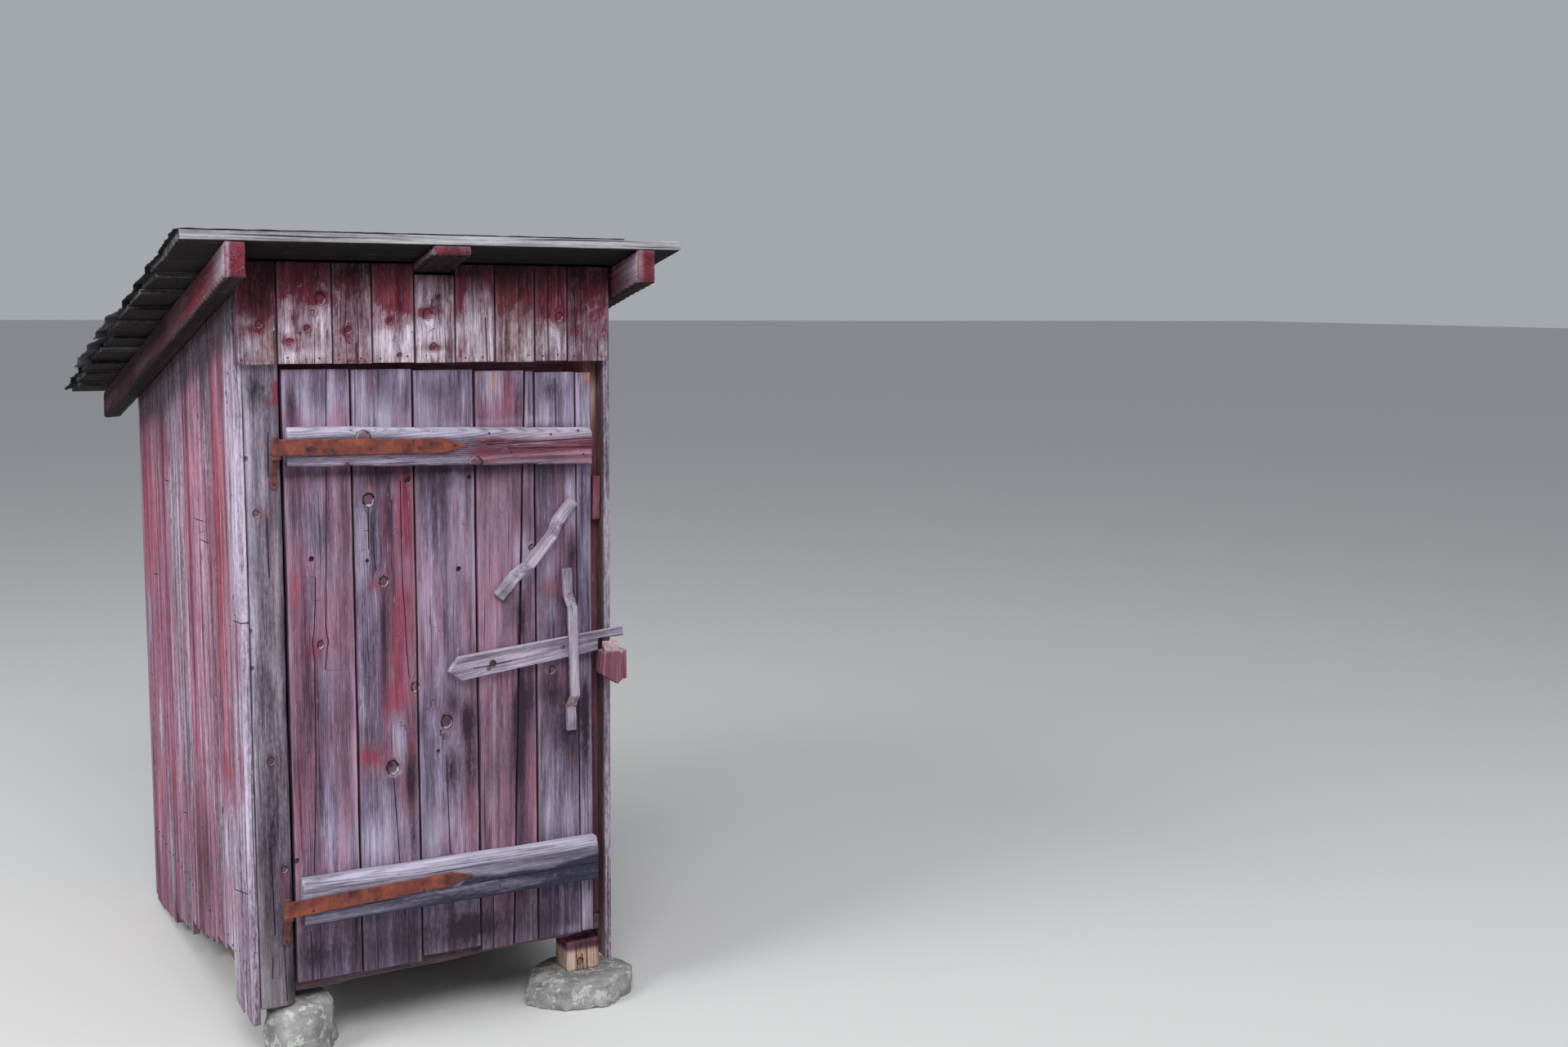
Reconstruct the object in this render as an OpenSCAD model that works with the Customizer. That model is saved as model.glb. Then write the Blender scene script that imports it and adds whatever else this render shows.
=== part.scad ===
// Small wooden outhouse with a lean-to roof, on four field stones.
// Millimetres, +Z up, door towards -Y. Hut measures start at the left front corner of the wall,
// at the foot of the left front post; at_hut() carries them to the frame's origin.

/* [Walls] */
// width over the side cladding
wall_w = 1000; // [800:10:1300]
// depth from the front posts to the back of the rear cladding
wall_d = 1400; // [1100:10:1800]
// underside of the roof boards at the front face
front_h = 1906; // [1800:1:2400]
// thickness of the cladding boards
clad_t = 22; // [16:1:30]
// face width of the left front post
post_w = 90; // [70:1:110]
// depth of the front posts
post_d = 92; // [70:1:110]
// side of the rear posts and sills
back_post = 70; // [50:1:90]
// radius of the wany edge of the left post
wane_r = 20; // [4:1:30]
// distance from the left post's foot to the ground
ground_drop = 140; // [100:1:200]

/* [Roof] */
// fall of the roof towards the back, degrees
roof_pitch = 13.1; // [8:0.1:20]
// length of the roof boards' field down the slope
roof_len = 2063; // [1900:0.5:2600]
// overhang in front of the posts
front_over = 182; // [100:1:260]
// overhang beyond the left wall
left_over = 151; // [90:1:220]
// overhang beyond the right wall
right_over = 123.5; // [90:0.5:220]
// thickness of the flat front board
roof_t = 25; // [18:1:32]
// rows of boards down the slope, the flat front board included
roof_rows = 11; // [8:1:15]
// thickness of the lapped boards
lapped_t = 15; // [12:1:20]
// how far each board's lower edge is lifted where it lies on the next one
lap_rise = 16; // [13:0.5:22]
// overlap of two boards
lap = 20; // [10:1:40]
// thickness of the felt
felt_t = 3.5; // [2:0.5:6]
// width of a side rafter
rafter_w = 51; // [40:1:70]
// height of a side rafter, square to the slope
rafter_h = 84; // [60:1:120]
// width of the flat middle rafter
mid_w = 100; // [70:1:140]
// thickness of the flat middle rafter
mid_t = 25; // [18:1:35]

/* [Door] */
// height of the door's lower edge above the left post's foot
door_foot = 53; // [30:1:120]
// height of the door's upper edge
door_top = 1640; // [1400:1:1700]
// thickness of the door boards
door_t = 25; // [18:1:32]
// gap between the door and the left post
door_gap = 5; // [5:0.5:10]
// distance from the door's free edge to the outside of the right wall
reveal = 56; // [48:1:80]
// how far the right post, header and stops stand behind the door face
stop_y = 38; // [34:1:50]
// thickness of the two door battens
batten_t = 38; // [24:1:48]
// height of the upper batten
batten_upper_h = 98; // [70:1:130]
// height of the lower batten
batten_lower_h = 118; // [80:1:150]
// height of the wany upper edge of both battens
batten_wane = 26; // [8:1:34]

/* [Hinges] */
// distance of the hinge pins from the left corner
hinge_x = 90; // [75:1:100]
// length of a strap from its pin to its point
strap_len = 492; // [380:1:560]
// width of a strap
strap_w = 42; // [30:1:50]
// thickness of a strap
strap_t = 6; // [4:0.5:8]
// radius of the rolled eye
eye_r = 12.5; // [11:0.5:16]
// radius of the pintle's pin
pin_r = 6; // [5:0.5:8]
// drop from the strap's middle to the pintle's nailed eye
pintle_drop = 94; // [80:1:110]

/* [Latch] */
// height of the latch bar's pivot
latch_z = 856; // [700:1:1000]
// distance of the pivot from the outside of the right wall
pivot_in = 355; // [320:1:400]
// bar from the pivot to its free end
bar_reach = 382; // [370:1:400]
// bar from the pivot to its pointed tail
bar_tail = 121; // [80:1:150]
// thickness of the bar
bar_t = 22; // [16:1:26]
// space between the bar and the door boards
bar_gap = 6; // [5:0.5:9]
// rise of the bar at rest, degrees
bar_tilt = 6; // [4:0.5:7]
// length of the upright keeper
keeper_len = 452; // [430:1:500]
// width of the keeper
keeper_w = 27; // [20:1:36]
// length of the slanting handle
handle_len = 331; // [300:1:400]
// width of the handle
handle_w = 32; // [24:1:40]
// wood left in the arch of keeper and handle
arch_t = 12; // [9:1:15]

/* [Hidden] */
$fn = 64;
seat = 0.3;
x0 = (left_over - right_over - wall_w) / 2;
row = roof_len / roof_rows;
lap_step = lap_rise * row / (row + lap);
roof_run = roof_len * cos(roof_pitch) + (lapped_t + lap_step + felt_t + seat) * sin(roof_pitch);
y0 = front_over - roof_run / 2;
back_y = wall_d - clad_t;
right_in = wall_w - clad_t;
post_x1 = clad_t + seat + post_w;
right_post_w = 98;
right_post_x = right_in - seat - right_post_w;
floor_z = 92;
floor_t = 25;
mid_x = (wall_w - mid_w) / 2;
mid_drop = mid_t / cos(roof_pitch) + 2 * seat;
rafter_end = wall_d + 346;
gable_z = door_top + 13;
plate_z = gable_z + 47;
rear_plate_z = roof_z(back_y) - mid_drop - 90;
door_x0 = post_x1 + door_gap;
door_x1 = wall_w - reveal;
door_w = door_x1 - door_x0;
face_y = -seat - batten_t;
hinge_y = face_y - seat - strap_t + eye_r;
strap_upper_z = door_top - 190;
strap_lower_z = door_foot + 216;
pivot_x = wall_w - pivot_in;
bar_front = -bar_gap - bar_t;
arch_in = bar_front - 6;
arch_out = arch_in - arch_t;
lip_z = latch_z + 34;
slot_z = latch_z + 4;

// underside of the roof boards at depth y
function roof_z(y) = front_h - y * tan(roof_pitch);

module at_hut() {
  translate([x0, y0, ground_drop]) children();
}

// block between two corners
module block(a, b) {
  translate(a) cube(b - a);
}

// outline in depth and height, extruded to the right
module side_prism(x, w, pts) {
  translate([x, 0, 0]) rotate([90, 0, 90]) linear_extrude(w) polygon(pts);
}

// outline in width and height, extruded to the back
module face_prism(y, t, pts) {
  translate([0, y + t, 0]) rotate([90, 0, 0]) linear_extrude(t) polygon(pts);
}

// a wall side: uneven board ends at the foot, roof line on top
// boards: share of the depth where each one ends, height of its foot
module side_wall(x, boards) {
  from = concat([0], [for (b = boards) b[0]]);
  foot = [for (i = [0:len(boards) - 1]) for (s = [from[i], boards[i][0]]) [s * back_y, boards[i][1]]];
  top = [[back_y, roof_z(back_y) - seat], [0, roof_z(0) - seat]];
  side_prism(x, clad_t, concat(foot, top));
}

// beam across the hut whose top follows the roof under the middle rafter
module cross_plate(y, d, z) {
  top_a = roof_z(y) - mid_drop - seat;
  top_b = roof_z(y + d) - mid_drop - seat;
  outline = [[y, z], [y + d, z], [y + d, top_b], [y, top_a]];
  side_prism(clad_t + seat, wall_w - 2 * clad_t - 2 * seat, outline);
}

// rafter with plumb ends under the roof boards
module rafter(x, w, h) {
  drop = h / cos(roof_pitch);
  top_a = roof_z(-front_over) - seat;
  top_b = roof_z(rafter_end) - seat;
  front = [[-front_over, top_a - drop], [-front_over, top_a]];
  back = [[rafter_end, top_b], [rafter_end, top_b - drop]];
  side_prism(x, w, concat(front, back));
}

// profile that lies on the roof slope: distance down the slope, height square to it
module roof_layer(pts) {
  translate([-left_over, -front_over, roof_z(-front_over)])
    rotate([-roof_pitch, 0, 0])
      side_prism(0, wall_w + left_over + right_over, pts);
}

// upper line of the roof boards from the front edge to the rear one
function roof_top() = concat(
  [[0, roof_t], [row, roof_t], [row, lapped_t]],
  [for (i = [2:roof_rows - 1]) for (rise = [lap_rise, lap_rise - lap_step]) [i * row + lap, lapped_t + rise]],
  [[roof_len, lapped_t + lap_step]]);

// field stone: uneven outline with a rounded shoulder under a flat top
module field_stone(x, y, r, stretch, h, turn) {
  wobble = [1, 0.88, 0.97, 0.84, 1, 0.9, 0.95, 0.86];
  ring = [for (i = [0:7]) r * wobble[i] * [stretch * cos(i * 45), sin(i * 45)]];
  shoulder = [[0, 0], [0.98, 0], [1.02, 0.3], [0.97, 0.62], [0.84, 0.88], [0.66, 1], [0, 1]];
  translate([x, y, -ground_drop])
    rotate(turn)
      intersection() {
        linear_extrude(h) polygon(ring);
        rotate_extrude() polygon([for (p = shoulder) [p[0] * r * stretch, p[1] * h]]);
      }
}

module foundation_stones() {
  color([0.62, 0.61, 0.57]) at_hut() {
    field_stone(134, 56, 98, 1.06, ground_drop - seat, 12);
    field_stone(wall_w - 78, 52, 152, 1.18, ground_drop - 70 - seat, 8);
    field_stone(114, back_y - 92, 84, 1.05, ground_drop - 80 - seat, 40);
    field_stone(wall_w - 114, back_y - 92, 84, 1.05, ground_drop - 80 - seat, 100);
  }
}

module post_front_left() {
  h = plate_z - seat;
  color([0.55, 0.53, 0.55]) at_hut()
    translate([clad_t + seat, 0, 0])
      linear_extrude(h)
        union() {
          translate([0, wane_r]) square([post_w, post_d - wane_r]);
          square([post_w - wane_r, wane_r * 2]);
          translate([post_w - wane_r, wane_r]) circle(wane_r);
        }
}

module post_front_right() {
  color([0.42, 0.16, 0.15]) at_hut()
    difference() {
      block([right_post_x, stop_y, -70], [right_post_x + right_post_w, stop_y + post_d, plate_z - seat]);
      block([right_post_x - 1, stop_y - 1, 18], [wall_w, stop_y + 32, floor_z + seat]);
    }
}

module back_posts() {
  y = back_y - seat - back_post;
  color([0.5, 0.46, 0.43]) at_hut() {
    for (x = [clad_t + seat, right_in - seat - back_post])
      block([x, y, -80], [x + back_post, y + back_post, rear_plate_z - seat]);
  }
}

module sill_front() {
  x1 = right_in - seat;
  a = post_x1 + seat;
  color([0.38, 0.22, 0.19]) at_hut()
    face_prism(30.5, 38.5, [[a, 22], [x1, 42], [x1, floor_z], [a, floor_z]]);
}

module sill_back() {
  a = clad_t + back_post + 2 * seat;
  y = back_y - seat - back_post;
  color([0.45, 0.41, 0.38]) at_hut()
    block([a, y, 22], [wall_w - a, y + back_post, floor_z]);
}

module side_sills() {
  y1 = back_y - back_post - 2 * seat;
  inner = right_in - seat;
  color([0.45, 0.41, 0.38]) at_hut() {
    block([clad_t + seat, post_d + seat, 22], [clad_t + seat + back_post, y1, floor_z]);
    block([inner - back_post, stop_y + post_d + seat, 22], [inner, y1, floor_z]);
  }
}

module plate_front() {
  color([0.45, 0.38, 0.33]) at_hut() cross_plate(0, post_d, plate_z);
}

module plate_back() {
  color([0.45, 0.38, 0.33]) at_hut()
    cross_plate(back_y - seat - back_post, back_post, rear_plate_z);
}

module door_header() {
  color([0.5, 0.36, 0.3]) at_hut()
    block([post_x1 + seat, stop_y, door_top - 18], [right_post_x - seat, post_d, plate_z - seat]);
}

module side_rafters() {
  color([0.45, 0.2, 0.2]) at_hut() {
    rafter(-seat - rafter_w, rafter_w, rafter_h);
    rafter(wall_w + seat, rafter_w, rafter_h);
  }
}

module rafter_middle() {
  color([0.55, 0.5, 0.48]) at_hut() rafter(mid_x, mid_w, mid_t);
}

module roof_boards() {
  under = [for (i = [roof_rows - 1:-1:1]) for (p = [[i + 1, lap_step], [i, 0]]) [p[0] * row, p[1]]];
  color([0.66, 0.63, 0.62]) at_hut() roof_layer(concat(roof_top(), under, [[0, 0]]));
}

module roofing_felt() {
  line = roof_top();
  last = len(line) - 1;
  inset = 4;
  under = [for (p = line) [max(inset, min(p[0] + seat, roof_len - felt_t)), p[1] + seat]];
  over = [for (i = [last:-1:0]) under[i] + [i == 0 ? 0 : felt_t, felt_t]];
  color([0.1, 0.1, 0.1]) at_hut() roof_layer(concat(under, over));
}

module gable_boards() {
  top_a = roof_z(-seat - clad_t) - seat;
  top_b = roof_z(-seat) - seat;
  outline = [[-seat - clad_t, gable_z], [-seat, gable_z], [-seat, top_b], [-seat - clad_t, top_a]];
  color([0.5, 0.27, 0.27]) at_hut()
    difference() {
      side_prism(3, wall_w - 14, outline);
      block([mid_x - 2, -60, top_b - mid_drop], [mid_x + mid_w + 2, 10, top_a + 40]);
    }
}

module left_wall() {
  boards = [[0.081, -34], [0.151, -38], [0.218, 84], [0.308, 66], [0.363, 44], [0.428, 16], [0.501, 4],
    [0.573, -10], [0.63, -50], [0.697, -58], [0.766, -66], [0.834, -106], [0.916, -116], [1, -126]];
  color([0.52, 0.32, 0.33]) at_hut() side_wall(0, boards);
}

module right_wall() {
  boards = [[0.081, -70], [0.218, -38], [0.308, -34], [0.428, -56], [0.573, -66], [0.697, -72], [0.834, -92],
    [1, -116]];
  color([0.52, 0.32, 0.33]) at_hut() side_wall(right_in, boards);
}

module back_wall() {
  y1 = back_y + clad_t;
  top_a = roof_z(back_y + seat) - seat;
  top_b = roof_z(y1) - seat;
  outline = [[back_y + seat, -124], [y1, -124], [y1, top_b], [back_y + seat, top_a]];
  color([0.5, 0.3, 0.3]) at_hut()
    difference() {
      side_prism(0, wall_w, outline);
      block([mid_x - 2, back_y - 5, top_b - mid_drop], [mid_x + mid_w + 2, y1 + 5, top_a + 40]);
    }
}

module floor_boards() {
  l = clad_t + seat;
  r = right_in - seat;
  b = back_y - seat;
  f = stop_y;
  rear = back_y - back_post - 2 * seat;
  post_b = post_d + seat;
  stop_b = stop_y + post_d + seat;
  front = [[post_x1 + seat, f], [right_post_x - seat, f], [right_post_x - seat, stop_b], [r, stop_b]];
  back = [[r, rear], [r - back_post - seat, rear], [r - back_post - seat, b],
    [l + back_post + seat, b], [l + back_post + seat, rear], [l, rear]];
  left = [[l, post_b], [post_x1 + seat, post_b]];
  color([0.5, 0.44, 0.38]) at_hut()
    translate([0, 0, floor_z + seat]) linear_extrude(floor_t) polygon(concat(front, back, left));
}

// hook that carries a strap: pin, collar, bent neck and nailed eye
module pintle(z) {
  top = -strap_w / 2 - seat;
  neck = [[hinge_y - 4.5, top - 8], [hinge_y + 4.5, top - 8], [-seat, -pintle_drop + 22],
    [-seat, -pintle_drop], [-seat - 6, -pintle_drop], [-seat - 6, -pintle_drop + 18]];
  translate([hinge_x, 0, z])
    difference() {
      union() {
        translate([0, hinge_y, top - 9]) cylinder(h = strap_w + 15, r = pin_r);
        translate([0, hinge_y, top - 9]) cylinder(h = 9, r = pin_r + 7);
        side_prism(-8, 16, neck);
        translate([0, -seat, -pintle_drop]) rotate([90, 0, 0]) cylinder(h = 6, r = 12);
      }
      translate([0, 1, -pintle_drop]) rotate([90, 0, 0]) cylinder(h = 12, r = 3.5);
    }
}

module hinge_pintles() {
  color([0.33, 0.16, 0.1]) at_hut() {
    pintle(strap_upper_z);
    pintle(strap_lower_z);
  }
}

// catch at the right corner: hook in front of the wall edge and a cheek on the outside
module latch_catch() {
  a = wall_w - 43;
  b = wall_w + seat + 10;
  low = latch_z - 86;
  front = [[a - 6, low + 30], [a + 8, low + 20], [a + 36, low], [b, low + 14], [b, slot_z],
    [a - 2, slot_z]];
  lip = [[arch_in - 28, slot_z - 1], [arch_in - 28, lip_z - 26], [arch_in - 14, lip_z - 12],
    [arch_in, lip_z], [arch_in, slot_z - 1]];
  color([0.45, 0.2, 0.2]) at_hut()
    union() {
      face_prism(arch_in - 28, 28 - arch_in - seat, front);
      side_prism(a, 43, lip);
      block([wall_w + seat, -42, low + 10], [wall_w + 27, 62, slot_z]);
    }
}

module jamb_block() {
  x = wall_w - reveal + 8;
  z = latch_z + 364;
  color([0.5, 0.12, 0.12]) at_hut()
    side_prism(x, 23, [[12, z], [stop_y - seat, z], [stop_y - seat, z + 120], [8, z + 120]]);
}

module door_boards() {
  b = [for (f = [0, 0.2, 0.4, 0.6, 0.8, 1]) door_x0 + f * door_w];
  foot = [[b[0], 4], [b[1], 0], [b[1], 3], [b[2], 1], [b[2], 16], [b[3], 12], [b[3], 3],
    [b[4], 0], [b[4], 2], [b[5], 8]];
  low = [for (p = foot) [p[0], door_foot + p[1]]];
  drop = [[b[5], 16], [b[4], 16], [b[4], 8], [b[3], 8], [b[3], 3], [b[2], 3], [b[2], 0], [b[0], 0]];
  top = [for (p = drop) [p[0], door_top - p[1]]];
  color([0.48, 0.36, 0.4]) at_hut()
    difference() {
      face_prism(0, door_t, concat(low, top));
      for (x = [b[1], b[2], b[3], b[4]])
        block([x - 1, -1, door_foot - 1], [x + 1, 4, door_top + 1]);
    }
}

// plank across the door whose upper front edge is wany; z is its middle at the left end
module batten(x, z, length, h, fall) {
  top = h / 2;
  section = [[face_y, -top], [-seat, -top], [-seat, top], [face_y + batten_wane * 0.7, top],
    [face_y + batten_wane * 0.22, top - batten_wane * 0.35], [face_y, top - batten_wane]];
  translate([x, 0, z]) rotate([0, fall, 0]) side_prism(0, length, section);
}

module door_battens() {
  color([0.45, 0.42, 0.47]) at_hut() {
    batten(door_x0, strap_upper_z, door_w - 12, batten_upper_h, 1.75);
    batten(door_x0 + 12, strap_lower_z + 9, door_w - 12, batten_lower_h, 0);
  }
}

// strap with a rolled eye on the pin and a pointed end
module strap(z, tilt) {
  w = strap_w / 2;
  leaf = [[0, -w], [strap_len - 64, -w + 2], [strap_len, 0], [strap_len - 64, w - 2], [0, w]];
  translate([hinge_x, 0, z]) {
    difference() {
      translate([0, hinge_y, -w]) cylinder(h = strap_w, r = eye_r);
      translate([0, hinge_y, -w - 1]) cylinder(h = strap_w + 2, r = pin_r + 0.4);
    }
    rotate([0, -tilt, 0]) face_prism(face_y - seat - strap_t, strap_t, leaf);
  }
}

module hinge_straps() {
  color([0.42, 0.22, 0.13]) at_hut() {
    strap(strap_upper_z, -1.2);
    strap(strap_lower_z, 2.1);
  }
}

// arched strip: two flat ends on the door and a raised middle, its foot at the origin
module arched_strip(length, w, pad, rise) {
  outer = [[0, -13], [pad - 6, -16], [pad + rise, arch_out], [length - pad - rise, arch_out],
    [length - pad + 6, -16], [length, -13]];
  inner = [[length, -seat], [length - pad, -seat], [length - pad - rise, arch_in],
    [pad + rise, arch_in], [pad, -seat], [0, -seat]];
  flip = [for (p = concat(outer, inner)) [p[1], p[0]]];
  side_prism(-w / 2, w, flip);
}

module door_handle() {
  color([0.68, 0.65, 0.65]) at_hut()
    translate([wall_w - 329, 0, latch_z + 172])
      rotate([0, 40.7, 0])
        arched_strip(handle_len, handle_w, 74, 40);
}

module latch_keeper() {
  color([0.6, 0.58, 0.59]) at_hut()
    translate([wall_w - 123, 0, latch_z - 214])
      rotate([0, -1.3, 0])
        arched_strip(keeper_len, keeper_w, 72, 32);
}

module latch_pin() {
  head = bar_front - 2.3;
  color([0.3, 0.17, 0.12]) at_hut()
    translate([pivot_x, 0, latch_z])
      rotate([90, 0, 0]) {
        translate([0, 0, seat]) cylinder(h = -head - seat, r = 4.8);
        translate([0, 0, -head]) cylinder(h = 4, r = 9);
      }
}

module latch_bar() {
  shape = [[-bar_tail, -2], [-bar_tail + 32, -31], [bar_reach, -24], [bar_reach, 25.5],
    [-bar_tail + 32, 31.5]];
  notch_x = wall_w - 50;
  color([0.6, 0.57, 0.58]) at_hut()
    difference() {
      translate([pivot_x, 0, latch_z])
        rotate([0, -bar_tilt, 0])
          face_prism(bar_front, bar_t, shape);
      translate([pivot_x, 5, latch_z]) rotate([90, 0, 0]) cylinder(h = bar_gap + bar_t + 10, r = 5.2);
      block([notch_x, bar_front - 1, slot_z - 20], [wall_w + 60, 0, lip_z + 7]);
    }
}

foundation_stones();
post_front_left();
post_front_right();
back_posts();
sill_front();
sill_back();
side_sills();
plate_front();
plate_back();
door_header();
side_rafters();
rafter_middle();
roof_boards();
roofing_felt();
gable_boards();
left_wall();
right_wall();
back_wall();
floor_boards();
hinge_pintles();
latch_catch();
jamb_block();
door_boards();
door_battens();
hinge_straps();
door_handle();
latch_keeper();
latch_pin();
latch_bar();
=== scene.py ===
import math
import random

import bpy
import bmesh
import numpy as np
from mathutils import Matrix, Vector, noise as turbulence


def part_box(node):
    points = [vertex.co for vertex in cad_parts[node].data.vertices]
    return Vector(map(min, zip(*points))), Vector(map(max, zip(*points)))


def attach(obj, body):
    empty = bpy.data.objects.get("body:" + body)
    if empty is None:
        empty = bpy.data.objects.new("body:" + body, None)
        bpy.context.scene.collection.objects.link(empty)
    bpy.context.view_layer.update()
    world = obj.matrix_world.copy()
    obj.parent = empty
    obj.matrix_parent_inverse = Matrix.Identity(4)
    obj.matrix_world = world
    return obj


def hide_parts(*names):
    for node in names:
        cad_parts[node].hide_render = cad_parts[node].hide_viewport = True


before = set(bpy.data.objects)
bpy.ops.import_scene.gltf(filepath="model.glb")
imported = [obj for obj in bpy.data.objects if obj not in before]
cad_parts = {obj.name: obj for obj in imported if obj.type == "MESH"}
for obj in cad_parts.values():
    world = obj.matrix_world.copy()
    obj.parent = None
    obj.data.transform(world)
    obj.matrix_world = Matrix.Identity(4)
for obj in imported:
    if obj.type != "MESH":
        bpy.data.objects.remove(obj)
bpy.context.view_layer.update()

hutCorner = (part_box("left_wall")[0].x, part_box("left_wall")[0].y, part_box("post_front_left")[0].z)
hutWidth, hutDepth = 1000, 1400  # over the outer faces of the cladding, in mm
pitch = math.radians(13.1)
slope = math.tan(pitch)
eaves = 1906  # height of the roof's underside above the door face


def hut(x, y, z):
    # hut millimetres: from the left corner, from the door face backwards, above the left post's foot
    return Vector((hutCorner[0] + x / 1000, hutCorner[1] + y / 1000, hutCorner[2] + z / 1000))


def tint(red, green, blue):
    # a colour as seen on screen, 0 to 255, made linear
    parts = [c / 255 for c in (red, green, blue)]
    return tuple(c / 12.92 if c < 0.04045 else ((c + 0.055) / 1.055) ** 2.4 for c in parts) + (1,)


class Signal:
    # what a socket gives; a sum of signals becomes math nodes, for shader and geometry trees alike
    def __init__(self, socket):
        self.socket = socket
        self.tree = socket.id_data

    def __add__(self, other):
        return work("ADD", self, other)

    def __sub__(self, other):
        return work("SUBTRACT", self, other)

    def __rsub__(self, other):
        return work("SUBTRACT", other, self)

    def __mul__(self, other):
        return work("MULTIPLY", self, other)

    def __truediv__(self, other):
        return work("DIVIDE", self, other)

    def __abs__(self):
        return work("ABSOLUTE", self)


def plug(value, socket):
    if isinstance(value, Signal):
        value.tree.links.new(value.socket, socket)
    else:
        socket.default_value = value


def treeOf(*values):
    return next(v.tree for v in values if isinstance(v, Signal))


def addNode(tree, kind, inputs=None, **settings):
    node = tree.nodes.new(kind)
    for name, value in settings.items():
        setattr(node, name, value)
    for key, value in (inputs or {}).items():
        plug(value, node.inputs[key])
    return node


def made(tree, kind, inputs=None, output=0, **settings):
    # a new node's output
    return Signal(addNode(tree, kind, inputs, **settings).outputs[output])


def work(operation, *values):
    # vector math where a vector or colour takes part
    wide = any(isinstance(v, Signal) and v.socket.type in ("VECTOR", "RGBA") for v in values)
    kind = "ShaderNodeVectorMath" if wide else "ShaderNodeMath"
    output = 1 if operation == "DOT_PRODUCT" else 0
    return made(treeOf(*values), kind, dict(enumerate(values)), output, operation=operation)


def clamped(value):
    # the last step of a sum held between 0 and 1
    value.socket.node.use_clamp = True
    return value


def join(x, y, z):
    return made(treeOf(x, y, z), "ShaderNodeCombineXYZ", {"X": x, "Y": y, "Z": z})


def split(vector):
    return [Signal(s) for s in addNode(vector.tree, "ShaderNodeSeparateXYZ", {"Vector": vector}).outputs]


def mix(factor, a, b, kind="RGBA"):
    first, second, result = {"FLOAT": (2, 3, 0), "RGBA": (6, 7, 2)}[kind]
    inputs = {0: factor, first: a, second: b}
    return made(treeOf(factor, a, b), "ShaderNodeMix", inputs, result, data_type=kind)


def step(value, low, high, first=0.0, last=1.0):
    # smooth rise between two values
    inputs = {"Value": value, 1: low, 2: high, 3: first, 4: last}
    return made(value.tree, "ShaderNodeMapRange", inputs, interpolation_type="SMOOTHSTEP")


def fall(value, low, high):
    return step(value, low, high, 1.0, 0.0)


def noise(vector, scale, detail=2.0, rough=0.5, colour=False):
    # scale is a number or one number for each axis, in bumps a metre
    if isinstance(scale, tuple):
        vector, scale = vector * scale, 1.0
    inputs = {"Vector": vector, "Scale": scale, "Detail": detail, "Roughness": rough}
    return made(vector.tree, "ShaderNodeTexNoise", inputs, 1 if colour else 0)


def ramp(factor, *colours):
    # even steps from the first colour to the last
    node = addNode(factor.tree, "ShaderNodeValToRGB", {"Fac": factor})
    elements = node.color_ramp.elements
    while len(elements) < len(colours):
        elements.new(0.5)
    for number, colour in enumerate(colours):
        elements[number].position = number / (len(colours) - 1)
        elements[number].color = colour
    return Signal(node.outputs[0])


def newGroup(name, kind, takes, gives):
    kinds = {"geometry": "NodeSocketGeometry", "finish": "NodeSocketMaterial", "whole": "NodeSocketInt",
             "number": "NodeSocketFloat", "vector": "NodeSocketVector"}
    tree = bpy.data.node_groups.new(name, kind)
    for side, sockets in (("INPUT", takes), ("OUTPUT", gives)):
        for label, what in sockets.items():
            form, value = what if isinstance(what, tuple) else (what, None)
            socket = tree.interface.new_socket(label, in_out=side, socket_type=kinds[form])
            if value is not None:
                socket.default_value = value
    take = {s.name: Signal(s) for s in tree.nodes.new("NodeGroupInput").outputs}
    return tree, take, tree.nodes.new("NodeGroupOutput").inputs


def hand(give, found):
    for name, value in found.items():
        plug(value, give[name])


def useEffect(tree, name, inputs):
    node = tree.nodes.new("ShaderNodeGroup")
    node.node_tree = effects[name]
    hand(node.inputs, inputs)
    return {s.name: Signal(s) for s in node.outputs}


def keep(geometry, name, value, form="FLOAT_VECTOR"):
    # stores a named value on every point
    inputs = {"Geometry": geometry, "Name": name, "Value": value}
    return made(geometry.tree, "GeometryNodeStoreNamedAttribute", inputs, data_type=form, domain="POINT")


def recall(tree, name, form="FLOAT_VECTOR"):
    return made(tree, "GeometryNodeInputNamedAttribute", {"Name": name}, data_type=form)


def finished(geometry, finish):
    # how every geometry tree ends
    smooth = made(geometry.tree, "GeometryNodeSetShadeSmooth", {"Geometry": geometry, "Shade Smooth": True})
    return made(geometry.tree, "GeometryNodeSetMaterial", {"Geometry": smooth, "Material": finish})


def newFinish(name, rough, gloss=0.5):
    finish = bpy.data.materials.new(name)
    finish.use_nodes = True
    shader = finish.node_tree.nodes["Principled BSDF"]
    shader.inputs["Roughness"].default_value = rough
    shader.inputs["Specular IOR Level"].default_value = gloss
    return finish, finish.node_tree, shader


def cover(shader, colour, height, strength, distance):
    plug(colour, shader.inputs["Base Color"])
    bump = made(height.tree, "ShaderNodeBump", {"Height": height, "Strength": strength, "Distance": distance})
    plug(bump, shader.inputs["Normal"])


def placed(name, data):
    thing = bpy.data.objects.new(name, data)
    bpy.context.scene.collection.objects.link(thing)
    return thing


# camera, light and floor
cameraPlace = {
    "position": (-1.41813, -5.24386, 1.97124),
    "yaw": 29.295,  # degrees, from straight at the door towards the right
    "pitch": -7.361,
    "roll": 0.5,
    "lens": 40.42,
    "sensor": 36,  # mm wide
}


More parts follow.
